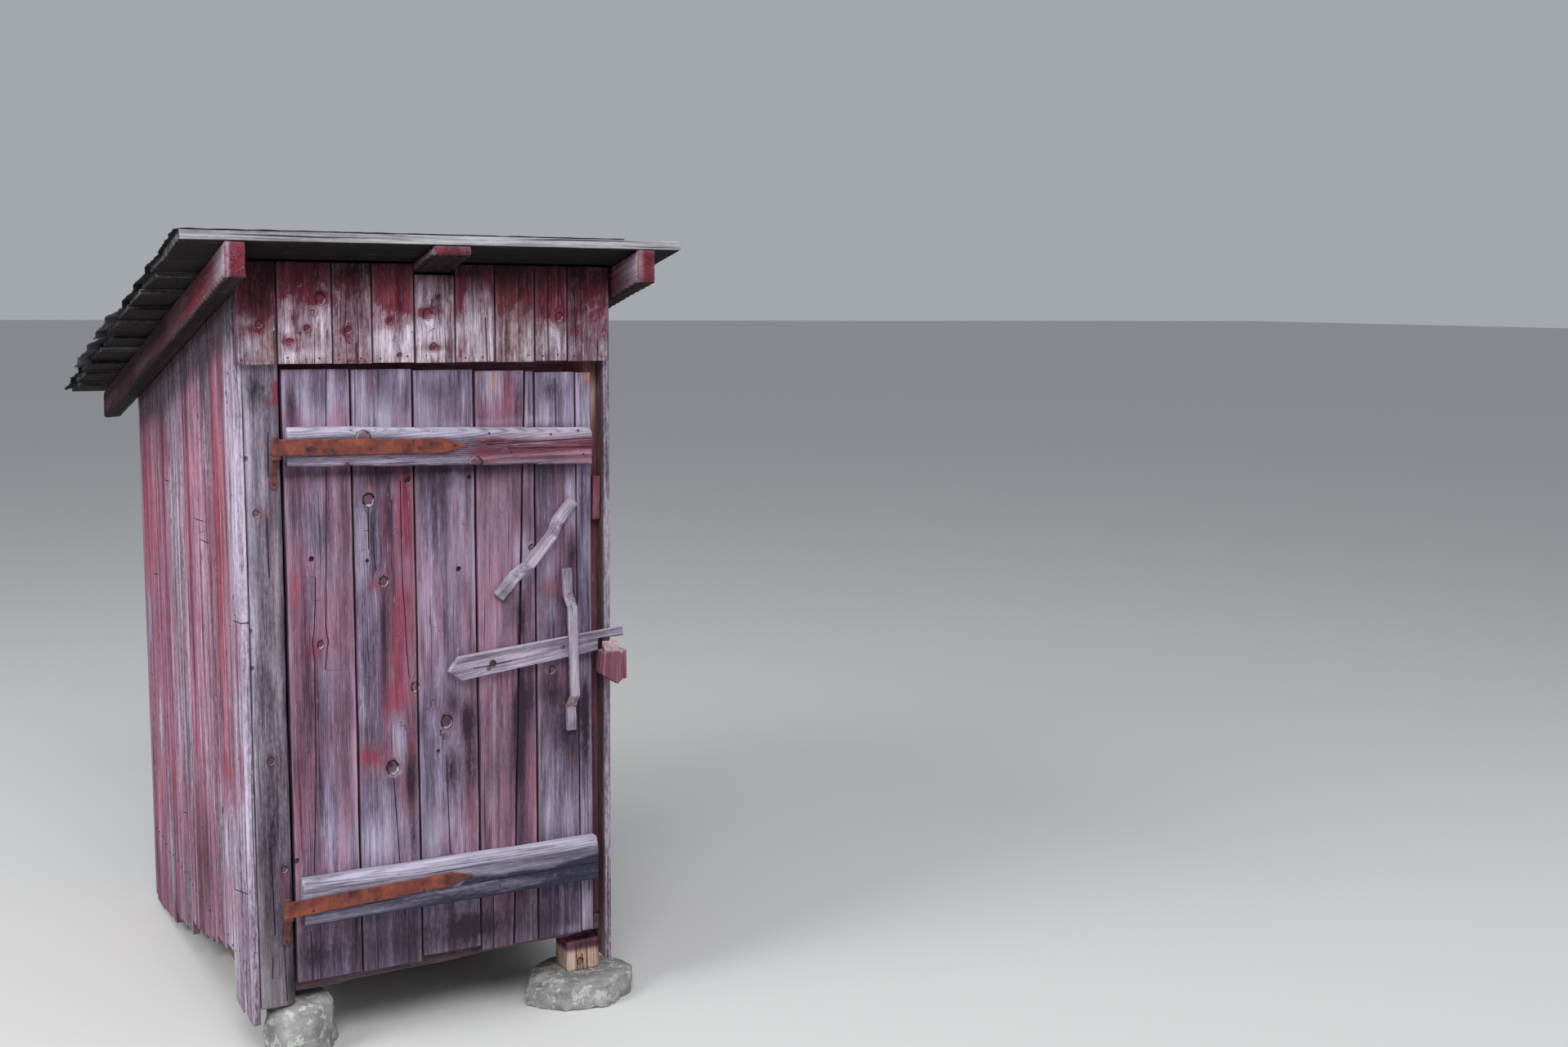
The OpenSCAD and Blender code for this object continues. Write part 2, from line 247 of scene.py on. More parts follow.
def makeCamera():
    yaw, nod, roll = (math.radians(cameraPlace[k]) for k in ("yaw", "pitch", "roll"))
    ahead = Vector((math.sin(yaw) * math.cos(nod), math.cos(yaw) * math.cos(nod), math.sin(nod)))
    level = Vector((math.cos(yaw), -math.sin(yaw), 0))
    upright = level.cross(ahead)
    right = math.cos(roll) * level + math.sin(roll) * upright
    above = math.cos(roll) * upright - math.sin(roll) * level
    data = bpy.data.cameras.new("camera")
    data.lens = cameraPlace["lens"]
    data.sensor_width = cameraPlace["sensor"]
    data.clip_end = 200
    camera = placed("camera", data)
    turn = Matrix((right, above, -ahead)).transposed().to_4x4()
    camera.matrix_world = Matrix.Translation(cameraPlace["position"]) @ turn
    bpy.context.scene.camera = camera


studio = {
    "skyColour": (0.88, 0.93, 1.0, 1),
    "skyStrength": 0.42,
    "lights": {
        "front": {"place": (-1.5, -6.0, 6.8), "aim": (0, 0, 1.0), "size": 4.5, "power": 430},
        "side": {"place": (-6.8, -1.6, 6.0), "aim": (0, 0, 1.0), "size": 4.5, "power": 520},
        "fill": {"place": (5.5, -5.0, 3.5), "aim": (0, 0, 0.9), "size": 4.0, "power": 70},
    },
    "floorColour": (0.6, 0.6, 0.59, 1),
    "floorReach": 120,
}


def softLight(name, place, aim, size, power):
    data = bpy.data.lights.new(name, "AREA")
    data.shape = "DISK"
    data.size = size
    data.energy = power
    lamp = placed(name, data)
    lamp.location = place
    lamp.rotation_euler = (Vector(aim) - Vector(place)).to_track_quat("-Z", "Y").to_euler()


def makeStudio():
    world = bpy.data.worlds.new("sky")
    bpy.context.scene.world = world
    world.use_nodes = True
    sky = world.node_tree.nodes["Background"]
    sky.inputs["Color"].default_value = studio["skyColour"]
    sky.inputs["Strength"].default_value = studio["skyStrength"]
    for name, light in studio["lights"].items():
        softLight(name, **light)
    bpy.context.scene.view_settings.view_transform = "Standard"
    mesh = bpy.data.meshes.new("floor")
    far = studio["floorReach"]
    mesh.from_pydata([(-far, -far, 0), (far, -far, 0), (far, far, 0), (-far, far, 0)], [], [(0, 1, 2, 3)])
    finish, _, shader = newFinish("floorFinish", 0.85)
    shader.inputs["Base Color"].default_value = studio["floorColour"]
    mesh.materials.append(finish)
    placed("floor", mesh)


# shared effects
def sawnGrain():
    # a board's grain, along Z; each layer: bumps a metre along the three axes, detail, roughness
    layers = {"Cloud": ((13, 11, 2.6), 3, 0.55), "Streak": ((32, 24, 0.8), 3, 0.65),
              "Smudge": ((44, 38, 2.4), 4, 0.62), "Fibre": ((125, 110, 1.7), 2, 0.6),
              "Fleck": ((185, 170, 13), 3, 0.65), "Mottle": ((140, 130, 48), 5, 0.72),
              "Fine": ((420, 400, 8), 2, 0.6)}
    takes = {"Vector": "vector", "Tone": ("number", 0.5), "Ring Width": ("number", 0.0045)}
    gives = dict.fromkeys((*layers, "Ring", "Speck", "Crack", "Relief"), "number")
    tree, take, give = newGroup("sawnGrain", "ShaderNodeTree", takes, gives)
    drift = noise(take["Vector"], (7, 7, 1.4), 2, colour=True) - (0.5, 0.5, 0.5)
    along = take["Vector"] + drift * (0.012, 0.012, 0)
    found = {name: noise(along, *values) for name, values in layers.items()}
    found["Speck"] = step(noise(along, (270, 250, 21), 2, 0.5), 0.63, 0.74)
    found["Crack"] = step(noise(along, (150, 140, 1.9), 1, 0.4), 0.68, 0.73)
    # growth rings round a heart beside the board
    x, y, _ = split(along)
    aside = x + (take["Tone"] * 0.16 - 0.08)
    depth = y + (noise(along, (2, 2, 0.6), 1) * 0.16 - 0.02)
    radius = work("SQRT", aside * aside + depth * depth)
    wave = work("SINE", radius / take["Ring Width"] * math.tau)
    found["Ring"] = work("POWER", wave * 0.5 + 0.5, 2.5)
    body = found["Fine"] * 0.5 + found["Ring"] * 0.25 + found["Fibre"] + found["Fleck"] * 0.8
    found["Relief"] = body + found["Mottle"] * 0.7 - found["Crack"]
    hand(give, found)
    return tree


def knotMark():
    # one knot from the offset to the nearest one: its heart, its rim, the pale lip below it as a painted
    # highlight, a hole where a small knot fell out with its shade painted dark, the red kept around it and
    # how far it pushes the grain aside
    gives = {**dict.fromkeys(("Heart", "Rim", "Lip", "Hole", "Halo"), "number"), "Push": "vector"}
    tree, take, give = newGroup("knotMark", "ShaderNodeTree", {"Offset": "vector", "Vector": "vector"}, gives)
    x, y, width = split(take["Offset"])
    size = work("MAXIMUM", width, 0.0005)
    tall = y * 0.85
    ragged = noise(take["Vector"], 110.0, 3) * 0.9 - 0.45
    far = work("SQRT", x * x + tall * tall) / size + ragged
    heart = fall(far, 0.85, 1.0)
    lip = fall(abs(far - 0.92), 0.04, 0.2) * step((x * 0.6 - tall) / size, 0.3, 0.7)
    low = y * 0.5
    area = size * size * 0.9
    pull = area / work("MAXIMUM", x * x + low * low, area)
    hand(give, {"Heart": heart, "Rim": fall(abs(far - 1.0), 0.1, 0.22), "Lip": lip,
                "Hole": heart * fall(size, 0.0065, 0.0085), "Halo": fall(far, 1.0, 4.0),
                "Push": join(x * pull * -1, 0, 0)})
    return tree


def paintCoat():
    # what is left of old paint: an opaque coat in patches and a worn stain around it
    takes = {"Vector": "vector", "Amount": ("number", 0.5), "Streak": ("number", 0.5),
             "Fibre": ("number", 0.5), "Fleck": ("number", 0.5), "Mottle": ("number", 0.5),
             "Halo": ("number", 0.0), "Patch Size": ("vector", (15, 15, 3.2)), "Patch Share": ("number", 1.1),
             "Stain From": ("number", -0.12), "Stain To": ("number", 0.3), "Stain Break": ("number", 0.6),
             "Coat Edge": ("number", 0.2)}
    gives = {"Coat": "number", "Stain": "number"}
    tree, take, give = newGroup("paintCoat", "ShaderNodeTree", takes, gives)
    patch = noise(take["Vector"] * take["Patch Size"], 1.0, 4, 0.65)
    level = take["Amount"] + take["Halo"] * 0.2
    for part, share in ((patch, take["Patch Share"]), (take["Streak"], 0.6), (take["Fibre"], 0.55)):
        level = (part - 0.5) * share + level
    worn = (level - take["Amount"]) * take["Stain Break"] + take["Amount"]
    for part, share in ((take["Fleck"], 0.6), (take["Mottle"], 0.9)):
        level = (part - 0.5) * share + level
    middle = 0.6
    hand(give, {"Stain": step(worn, take["Stain From"], take["Stain To"]),
                "Coat": step(level, middle - take["Coat Edge"], take["Coat Edge"] + middle)})
    return tree


def boardEdge():
    # how near a point is to a board's long edges or a worn corner
    takes = {"Reach": "vector", "Wear": ("number", 0.0), "Vector": "vector"}
    gives = {"Edge": "number", "Seam": "number"}
    tree, take, give = newGroup("boardEdge", "ShaderNodeTree", takes, gives)
    left, right, _ = split(take["Reach"])
    near = work("MINIMUM", abs(left), abs(right))
    edge = fall(near - noise(take["Vector"], (60, 60, 9), 2) * 0.009, 0.0, 0.006)
    hand(give, {"Edge": work("MAXIMUM", edge, take["Wear"]), "Seam": fall(near, 0.0006, 0.003)})
    return tree


def dampFoot():
    # darker and greener towards the ground, in an uneven band
    takes = {"Vector": "vector", "Low": ("number", 0.15), "High": ("number", 0.5)}
    tree, take, give = newGroup("dampFoot", "ShaderNodeTree", takes, {"Damp": "number"})
    height = split(take["Vector"])[2] + (noise(take["Vector"], (14, 14, 3), 3) * 0.5 - 0.25)
    hand(give, {"Damp": fall(height, take["Low"], take["High"])})
    return tree


effects = {make.__name__: make() for make in (sawnGrain, knotMark, paintCoat, boardEdge, dampFoot)}


# what all timber shares; each piece changes what differs
timberLook = {
    "light": tint(174, 168, 192), "mid": tint(118, 108, 130), "dark": tint(58, 52, 68),
    "tones": 0.3, "lift": 0.0, "clouds": 1.2, "streaks": 0.9, "smudges": 1.3, "fibres": 0.5, "flecks": 0.8,
    "mottles": 0.6, "fines": 0.8, "rings": 0.16, "ringWidth": 0.0045,
    "blue": tint(70, 70, 92), "blotch": 0.5, "blotchSize": (12, 12, 3.4),
    "stain": tint(148, 92, 108), "stainDark": tint(76, 42, 56), "stainShare": 0.8, "stainFrom": -0.12,
    "stainTo": 0.3, "stainBreak": 0.55,
    "paint": tint(160, 54, 68), "paintDark": tint(94, 26, 40), "coatShare": 0.8, "coatEdge": 0.2,
    "patchSize": (15, 15, 3.2), "patchShare": 1.1,
    "inner": tint(128, 104, 88), "fresh": tint(190, 142, 104), "freshDark": tint(132, 80, 56),
    "top": tint(176, 168, 184), "speck": tint(196, 190, 214), "speckShare": 0.3,
    "knotDark": tint(58, 40, 46), "knotLight": tint(132, 92, 94), "rim": tint(34, 22, 28), "rimShare": 0.8,
    # lip: a painted highlight on the lower right of a knot; the hole share paints shade in small holes
    "lip": tint(192, 186, 204), "lipShare": 0.6, "holeShare": 0.3,
    # edge: pale worn edges, partly a painted highlight along them
    "edge": tint(168, 156, 172), "edgeShare": 0.16, "seam": tint(48, 20, 28), "seamShare": 0.8,
    "damp": tint(62, 60, 64), "dampShare": 0.25, "dampLow": 0.1, "dampHigh": 0.42,
    # the dark colour on the next line serves for dirt and for painted shade
    "grime": tint(46, 40, 48), "dirtAndShadeShare": 1.0, "crack": tint(30, 22, 28), "crackShare": 0.65,
    "bump": 0.8, "rough": 0.86,
}


def timberFinish(name, changes):
    # bare weathered wood, worn stain, paint in patches, knots with a painted highlight on their lower lip and
    # painted shade in small holes, cracks, worn edges lightened partly as painted highlight, dirt and painted
    # shade
    look = {**timberLook, **changes}
    finish, tree, shader = newFinish(name, look["rough"], 0.22)

    def read(label, output="Fac"):
        return made(tree, "ShaderNodeAttribute", None, output, attribute_name=label)

    spot, reach, offset = (read(label, "Vector") for label in ("grain", "reach", "knot"))
    wear, tone, paint, splitLine, grime, pale, inner, fresh = (
        read(label) for label in ("wear", "tone", "paint", "splitLine", "grime", "pale", "inner", "fresh"))
    place = made(tree, "ShaderNodeTexCoord", None, "Object")
    knot = useEffect(tree, "knotMark", {"Offset": offset, "Vector": spot})
    flow = spot + knot["Push"]
    grain = useEffect(tree, "sawnGrain", {"Vector": flow, "Tone": tone, "Ring Width": look["ringWidth"]})
    wanted = {"Vector": flow, "Amount": paint - inner * 2, "Halo": knot["Halo"]}
    for part in ("Streak", "Fibre", "Fleck", "Mottle"):
        wanted[part] = grain[part]
    for size in ("Patch Size", "Patch Share", "Stain From", "Stain To", "Stain Break", "Coat Edge"):
        wanted[size] = look[size[0].lower() + size[1:].replace(" ", "")]
    coat = useEffect(tree, "paintCoat", wanted)
    edge = useEffect(tree, "boardEdge", {"Reach": reach, "Wear": wear, "Vector": spot})
    damp = useEffect(tree, "dampFoot", {"Vector": place, "Low": look["dampLow"], "High": look["dampHigh"]})
    # how light the wood is at a point, 0 to 1
    wood = tone * look["tones"] + (0.5 + look["lift"] - look["tones"] / 2)
    for part in ("Cloud", "Streak", "Smudge", "Fibre", "Fleck", "Mottle", "Fine"):
        share = look[part.lower() + "s"]
        wood = wood + (grain[part] * share - 0.5 * share)
    wood = clamped(wood - grain["Ring"] * look["rings"])
    blotch = step(noise(flow, look["blotchSize"], 4, 0.62), 0.46, 0.72, 0, look["blotch"])
    heart = mix(noise(spot, 160.0, 3), look["knotDark"], look["knotLight"])
    rubbed = (grain["Streak"] + grain["Mottle"]) * -1.1 + 2.0
    lined = fall(abs(splitLine), 0.0006, 0.0018)
    crack = work("MAXIMUM", grain["Crack"] * look["crackShare"], lined)
    # from the wood outwards: where a layer covers what is below it, and its colour
    layers = (
        (blotch, look["blue"]),
        (coat["Stain"] * look["stainShare"], ramp(wood, look["stainDark"], look["stain"])),
        (coat["Coat"] * look["coatShare"], ramp(wood, look["paintDark"], look["paint"])),
        (inner, mix(wood, look["dark"], look["inner"])),
        (fresh, ramp(wood, look["freshDark"], look["fresh"])),
        (pale * (wood * 0.7 + 0.3), look["top"]),
        (grain["Speck"] * look["speckShare"], look["speck"]),
        (knot["Heart"] * 0.7, heart),
        (knot["Rim"] * look["rimShare"], look["rim"]),
        # a painted highlight on the lip, painted shade in the hole
        (knot["Lip"] * look["lipShare"], look["lip"]),
        (knot["Hole"] * look["holeShare"], look["rim"]),
        # worn edges lightened, partly as a painted highlight
        (edge["Edge"] * look["edgeShare"], look["edge"]),
        (edge["Seam"] * look["seamShare"], look["seam"]),
        (damp["Damp"] * look["dampShare"], look["damp"]),
        # dirt, and painted shade where the marks put it
        (clamped(grime * look["dirtAndShadeShare"] * rubbed), look["grime"]),
        (crack, look["crack"]),
    )
    colour = ramp(wood, look["dark"], look["mid"], look["light"])
    for share, over in layers:
        colour = mix(share, colour, over)
    height = grain["Relief"] - crack * 1.2 + coat["Coat"] * 0.2 + knot["Rim"] * 0.6 - knot["Heart"] * 0.6
    cover(shader, colour, height, look["bump"], 0.0016)
    return finish


# boards in rows
def edgeSpread(unit, count, start, end, edge):
    # grid lines gathered at the edges of a board, so that its corners can be rounded
    index = work("ROUND", unit * (count - 1))
    inner = clamped((index - 2) / (count - 5))
    place = mix(inner, start + edge * 2, end - edge * 2, "FLOAT")
    first, last = work("LESS_THAN", index, 0.5), work("GREATER_THAN", index, count - 1.5)
    second, secondLast = work("LESS_THAN", index, 1.5), work("GREATER_THAN", index, count - 2.5)
    outward = (last + secondLast) - (first + second)
    return outward * edge + place, last - first


def boardRowTree():
    takes = {"Geometry": "geometry", "Across": ("whole", 11), "Deep": ("whole", 6), "Along": ("whole", 60),
             "Edge": ("number", 0.002), "Wave": ("number", 0.0012), "Ragged": ("number", 0.002),
             "Relief": ("number", 0.0008), "Finish": "finish"}
    tree, take, give = newGroup("boardRow", "GeometryNodeTree", takes, {"Geometry": "geometry"})
    counts = {"Vertices X": take["Across"], "Vertices Y": take["Deep"], "Vertices Z": take["Along"]}
    spot = made(tree, "GeometryNodeInputPosition")
    block = keep(made(tree, "GeometryNodeMeshCube", counts), "unit", spot + (0.5, 0.5, 0.5))
    many = made(tree, "GeometryNodeInstanceOnPoints", {"Points": take["Geometry"], "Instance": block})
    mesh = made(tree, "GeometryNodeRealizeInstances", {0: many})
    stored = ("unit", "low", "high", "body", "cut")
    unit, low, high, body, cut = (split(recall(tree, name)) for name in stored)
    seed, edge = body[2], take["Edge"]
    reach = unit[2] * (high[2] - low[2])
    left = mix(unit[2], low[0], high[0], "FLOAT")
    right = mix(unit[2], low[1], high[1], "FLOAT")
    across, outX = edgeSpread(unit[0], take["Across"], left, right, edge)
    deep, outY = edgeSpread(unit[1], take["Deep"], body[0], body[0] + body[1], edge)
    share = (across - left) / (right - left)
    foot, head = cut[0] * share + low[2], cut[1] * share + high[2]
    along, outZ = edgeSpread(unit[2], take["Along"], foot, head, edge)
    # corners drawn in
    rounds = [out * work("MAXIMUM", abs(beside), abs(behind)) * (edge * 0.3)
              for out, beside, behind in ((outX, outY, outZ), (outY, outX, outZ), (outZ, outX, outY))]
    # waves along the edges, a cupped face and ragged ends
    bend = split(noise(join(seed * 3.7, seed * 1.3, reach), (1, 1, 5), 3, colour=True) - (0.5, 0.5, 0.5))
    wave = mix(share, bend[0], bend[1], "FLOAT") * (take["Wave"] * 2)
    fringe = noise(join(across, seed, deep * 2), 55.0, 3) - 0.5
    rag = fringe * (abs(outZ) * take["Ragged"])
    middle = share * 2 - 1
    cup = middle * middle * cut[2]
    dents = (noise(join(across + seed * 5.1, deep, along), (45, 45, 3.2), 3) - 0.5) * (take["Relief"] * 2)
    lean = (1 - share) * recall(tree, "lean", "FLOAT")
    moved = join(across - rounds[0] + wave, deep - rounds[1] + (cup - lean + dents), along - rounds[2] + rag)
    mesh = made(tree, "GeometryNodeSetPosition", {"Geometry": mesh, "Position": moved})
    centre = (left + right) * 0.5
    grain = join(across - centre + seed * 2.9, deep - body[0] + seed * 1.7, along + seed * 4.3)
    mesh = keep(mesh, "grain", grain)
    mesh = keep(mesh, "reach", join(across - left, right - across, 0))
    whim = noise(join(seed * 31.7, 0.3, 0.7), 1.0, 0)
    mesh = keep(mesh, "tone", step(whim, 0.25, 0.75), "FLOAT")
    mesh = keep(mesh, "wear", 0.0, "FLOAT")
    plug(finished(mesh, take["Finish"]), give["Geometry"])
    return tree


def setInputs(modifier, values):
    sockets = {s.name: s.identifier for s in modifier.node_group.interface.items_tree
               if s.item_type == "SOCKET" and s.in_out == "INPUT"}
    for name, value in values.items():
        modifier[sockets[name]] = value


def addTree(thing, name, values):
    modifier = thing.modifiers.new(name, "NODES")
    modifier.node_group = trees[name]
    setInputs(modifier, values)


def settled(thing, name):
    # the evaluated shape as a plain mesh object, with the modifiers gone
    bpy.context.view_layer.update()
    shape = bpy.data.meshes.new_from_object(thing.evaluated_get(bpy.context.evaluated_depsgraph_get()))
    old = thing.data
    bpy.data.objects.remove(thing)
    bpy.data.meshes.remove(old)
    return placed(name, shape)


def pointRow(name, columns):
    # loose points that carry named numbers for a geometry tree
    count = len(next(iter(columns.values())))
    mesh = bpy.data.meshes.new(name)
    mesh.from_pydata([(0, 0, 0)] * count, [], [])
    for label, values in columns.items():
        addNumbers(mesh, label, values)
    return placed(name, mesh)


def inMetres(*values):
    return tuple(v / 1000 for v in values)


def makeBoards(name, boards, turn, finish, seed, **sizes):
    # each board, in mm: left and right at the foot, the same at the head if it tapers, bottom, top and
    # thickness, then what isn't 0 of the rise of both end cuts, the place of its face, its cup and its lean
    columns = {
        "low": [inMetres(*b["foot"], b["bottom"]) for b in boards],
        "high": [inMetres(*b.get("head", b["foot"]), b["top"]) for b in boards],
        "body": [(*inMetres(b.get("face", 0), b["thick"]), seed + n * 1.37) for n, b in enumerate(boards)],
        "cut": [inMetres(b.get("footRise", 0), b.get("headRise", 0), b.get("cup", 0)) for b in boards],
        "lean": [b.get("lean", 0) / 1000 for b in boards],
    }
    thing = pointRow(name, columns)
    addTree(thing, "boardRow", {**sizes, "Finish": finish})
    piece = settled(thing, name)
    piece.data.transform(turn)
    return piece


def addNumbers(mesh, label, values):
    values = np.asarray(values, np.float32)
    form, key = ("FLOAT", "value") if values.ndim == 1 else ("FLOAT_VECTOR", "vector")
    data = mesh.attributes.get(label) or mesh.attributes.new(label, form, "POINT")
    data.data.foreach_set(key, values.ravel())


def cornersOf(piece):
    # points in hut millimetres and their normals
    points, normals = (np.zeros(len(piece.data.vertices) * 3) for _ in range(2))
    piece.data.vertices.foreach_get("co", points)
    piece.data.vertices.foreach_get("normal", normals)
    return (points.reshape(-1, 3) - np.array(hutCorner)) * 1000, normals.reshape(-1, 3)


def softSpot(across, along, x, z, wide, tall):
    return np.exp(-((across - x) / wide) ** 2 - ((along - z) / tall) ** 2)


def knotOffsets(across, along, knots):
    # how far every point is from the nearest knot, and that knot's size, in metres
    offset = np.tile(np.array([1.0, 1.0, 0.001]), (len(across), 1))
    nearest = np.full(len(across), 1e9)
    for x, z, size in knots:
        far = np.hypot(across - x, (along - z) * 0.6)
        closer = far < nearest
        nearest[closer] = far[closer]
        offset[closer] = np.stack([across - x, along - z, np.full(len(across), size)], 1)[closer] / 1000
    return offset


def splitDistances(across, along, routes):
    # splits run along the grain, saw cuts across it; lines that run side by side take turns in sign
    line = np.ones(len(across))
    for number, route in enumerate(routes):
        for start, end in zip(route, route[1:]):
            sawn = abs(end[0] - start[0]) > abs(end[1] - start[1])
            one, other = (along, across) if sawn else (across, along)
            (x0, z0), (x1, z1) = (start[::-1], end[::-1]) if sawn else (start, end)
            inside = (other > min(z0, z1) - 10) & (other < max(z0, z1) + 10)
            gap = (one - (x0 + (x1 - x0) * (other - z0) / (z1 - z0))) / 1000
            nearer = inside & (np.abs(gap) < np.abs(line))
            line[nearer] = gap[nearer] * (1 if number % 2 else -1)
    return line


def dress(piece, marks=None, axes=(0, 2), outward=None):
    # numbers for the finish at every point: soft patches of paint, of dirt and painted shade, nearest knot
    # and nearest split
    # a patch: place across and along, half width and half height in mm, strength
    # axes: the direction across the grain, then the one along it
    marks = marks or {}
    points, normals = cornersOf(piece)
    across, along = points[:, axes[0]], points[:, axes[1]]
    turned = np.zeros(len(points)) if outward is None else np.clip(-1.5 * normals @ np.array(outward), 0, 1)
    addNumbers(piece.data, "inner", turned)
    for label in ("paint", "grime", "pale", "fresh"):
        base = marks.get(label, 0)
        amount = base(points, normals) if callable(base) else np.full(len(points), float(base))
        for *spot, strength in marks.get(label + "Patches", ()):
            # the marks stay off the inner side
            amount = amount + strength * softSpot(across, along, *spot) * (1 - turned)
        addNumbers(piece.data, label, amount if label == "paint" else np.clip(amount, 0, 1))
    addNumbers(piece.data, "knot", knotOffsets(across, along, marks.get("knots", ())))
    addNumbers(piece.data, "splitLine", splitDistances(across, along, marks.get("splits", ())))
    if "clear" in marks:
        # board edges that lie open at a corner have no seam
        reach = np.zeros(len(points) * 3)
        piece.data.attributes["reach"].data.foreach_get("vector", reach)
        reach = reach.reshape(-1, 3)
        reach[marks["clear"](points, normals)] = 0.03
        addNumbers(piece.data, "reach", reach)


def dent(piece, places, axes, inward):
    # hollows pressed into the outer face: across, along, half width, half height, depth in mm
    points, normals = cornersOf(piece)
    push = np.zeros(len(points))
    for *spot, depth in places:
        push += depth * softSpot(points[:, axes[0]], points[:, axes[1]], *spot)
    inward = np.array(inward)
    push *= normals @ inward < -0.5
    points += push[:, None] * inward
    piece.data.vertices.foreach_set("co", (points / 1000 + np.array(hutCorner)).ravel())


def byBoard(points, edges, shares, axis=0):
    # a number for every point from the board it is on
    amount = np.full(len(points), float(shares[0]))
    for edge, share in zip(edges, shares):
        amount[points[:, axis] > edge - 1] = share
    return amount


def ease(values, start, length, most=1.0):
    # from 0 at the start up to the most
    return np.clip((values - start) / length, 0, most)


# weathered copies of the built pieces
def pushedOut(geometry, normal, push):
    return made(geometry.tree, "GeometryNodeSetPosition", {"Geometry": geometry, "Offset": normal * push})


def weatherTree():
    takes = {"Geometry": "geometry", "Turn": ("vector", (0, 0, 0)), "Origin": ("vector", (0, 0, 0)),
             "Lump": ("number", 0.002), "Groove": ("number", 0.0012), "Tone": ("number", 0.5),
             "Wear": ("number", 300.0), "Seed": ("number", 1.0), "Finish": "finish"}
    tree, take, give = newGroup("weathered", "GeometryNodeTree", takes, {"Geometry": "geometry"})
    spot, normal = made(tree, "GeometryNodeInputPosition"), made(tree, "GeometryNodeInputNormal")
    blur = {"Iterations": 3, "Value": spot}
    smooth = made(tree, "GeometryNodeBlurAttribute", blur, data_type="FLOAT_VECTOR")
    bulge = work("DOT_PRODUCT", spot - smooth, normal)
    local = {"Vector": spot - take["Origin"], "Rotation": take["Turn"]}
    turned = made(tree, "ShaderNodeVectorRotate", local, rotation_type="EULER_XYZ")
    grain = turned + join(take["Seed"], take["Seed"], take["Seed"]) * (2.3, 1.9, 5.7)
    mesh = keep(take["Geometry"], "grain", grain)
    mesh = keep(mesh, "wear", clamped(bulge * take["Wear"] - 0.12), "FLOAT")
    mesh = keep(mesh, "reach", (1.0, 1.0, 1.0))
    mesh = keep(mesh, "tone", take["Tone"], "FLOAT")
    stored = recall(tree, "grain")
    lump = (noise(stored, (14, 14, 4), 3) - 0.5) * take["Lump"]
    groove = (noise(stored, (75, 75, 2.4), 2) - 0.5) * take["Groove"]
    mesh = pushedOut(mesh, normal, (lump + groove) * 2)
    plug(finished(mesh, take["Finish"]), give["Geometry"])
    return tree


def skinTree():
    # stone and iron: bumps the same in every direction
    takes = {"Geometry": "geometry", "Size": ("number", 10.0), "Height": ("number", 0.01),
             "Fine Size": ("number", 70.0), "Fine Height": ("number", 0.002), "Seed": ("number", 1.0),
             "Finish": "finish"}
    tree, take, give = newGroup("skin", "GeometryNodeTree", takes, {"Geometry": "geometry"})
    place = made(tree, "GeometryNodeInputPosition") + join(take["Seed"], 0, 0)
    coarse = (noise(place, take["Size"], 3) - 0.55) * take["Height"]
    fine = (noise(place, take["Fine Size"], 3) - 0.5) * take["Fine Height"]
    mesh = pushedOut(take["Geometry"], made(tree, "GeometryNodeInputNormal"), coarse + fine)
    plug(finished(mesh, take["Finish"]), give["Geometry"])
    return tree


def nailTree():
    # a flat domed head on every point, turned to the way it faces
    takes = {"Geometry": "geometry", "Seed": ("whole", 1), "Finish": "finish"}
    tree, take, give = newGroup("nailHeads", "GeometryNodeTree", takes, {"Geometry": "geometry"})
    ball = made(tree, "GeometryNodeMeshUVSphere", {"Segments": 9, "Rings": 6, "Radius": 1.0})
    head = made(tree, "GeometryNodeTransform", {"Geometry": ball, "Scale": (1, 0.93, 0.36)})
    tilt = 0.16
    ends = {"Seed": take["Seed"], "Min": (-tilt, -tilt, -tilt), "Max": (tilt, tilt, tilt)}
    tip = made(tree, "FunctionNodeRandomValue", ends, "Value", data_type="FLOAT_VECTOR")
    turn = made(tree, "FunctionNodeAlignRotationToVector", {"Vector": recall(tree, "facing") + tip}, axis="Z")
    spread = {"Points": take["Geometry"], "Instance": head, "Rotation": turn,
              "Scale": recall(tree, "size", "FLOAT")}
    mesh = made(tree, "GeometryNodeRealizeInstances", {0: made(tree, "GeometryNodeInstanceOnPoints", spread)})
    plug(finished(mesh, take["Finish"]), give["Geometry"])
    return tree


trees = {"boardRow": boardRowTree(), "weathered": weatherTree(), "skin": skinTree(), "nailHeads": nailTree()}


def copyOf(node, name):
    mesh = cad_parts[node].data.copy()
    mesh.materials.clear()
    shape = bmesh.new()
    shape.from_mesh(mesh)
    bmesh.ops.remove_doubles(shape, verts=shape.verts, dist=0.00002)
    shape.to_mesh(mesh)
    shape.free()
    return placed(name, mesh)


def reshaped(name, node, tree, voxel, values):
    # an even mesh over a copy of a built piece, pushed in and out by a geometry tree
    thing = copyOf(node, name)
    remesh = thing.modifiers.new("remesh", "REMESH")
    remesh.mode = "VOXEL"
    remesh.voxel_size = voxel
    addTree(thing, tree, values)
    return settled(thing, name)


def finishPiece(piece, body, slot, *nodes):
    if nodes:
        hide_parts(*nodes)
    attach(piece, body)
    print("made", piece.name, len(piece.data.polygons), "faces")


# turns that bring a timber's grain onto Z
upright = (0, 0, 0)
alongX = (0, -math.pi / 2, 0)
alongY = (math.pi / 2, 0, 0)
downSlope = (math.pi / 2 + pitch, 0, 0)


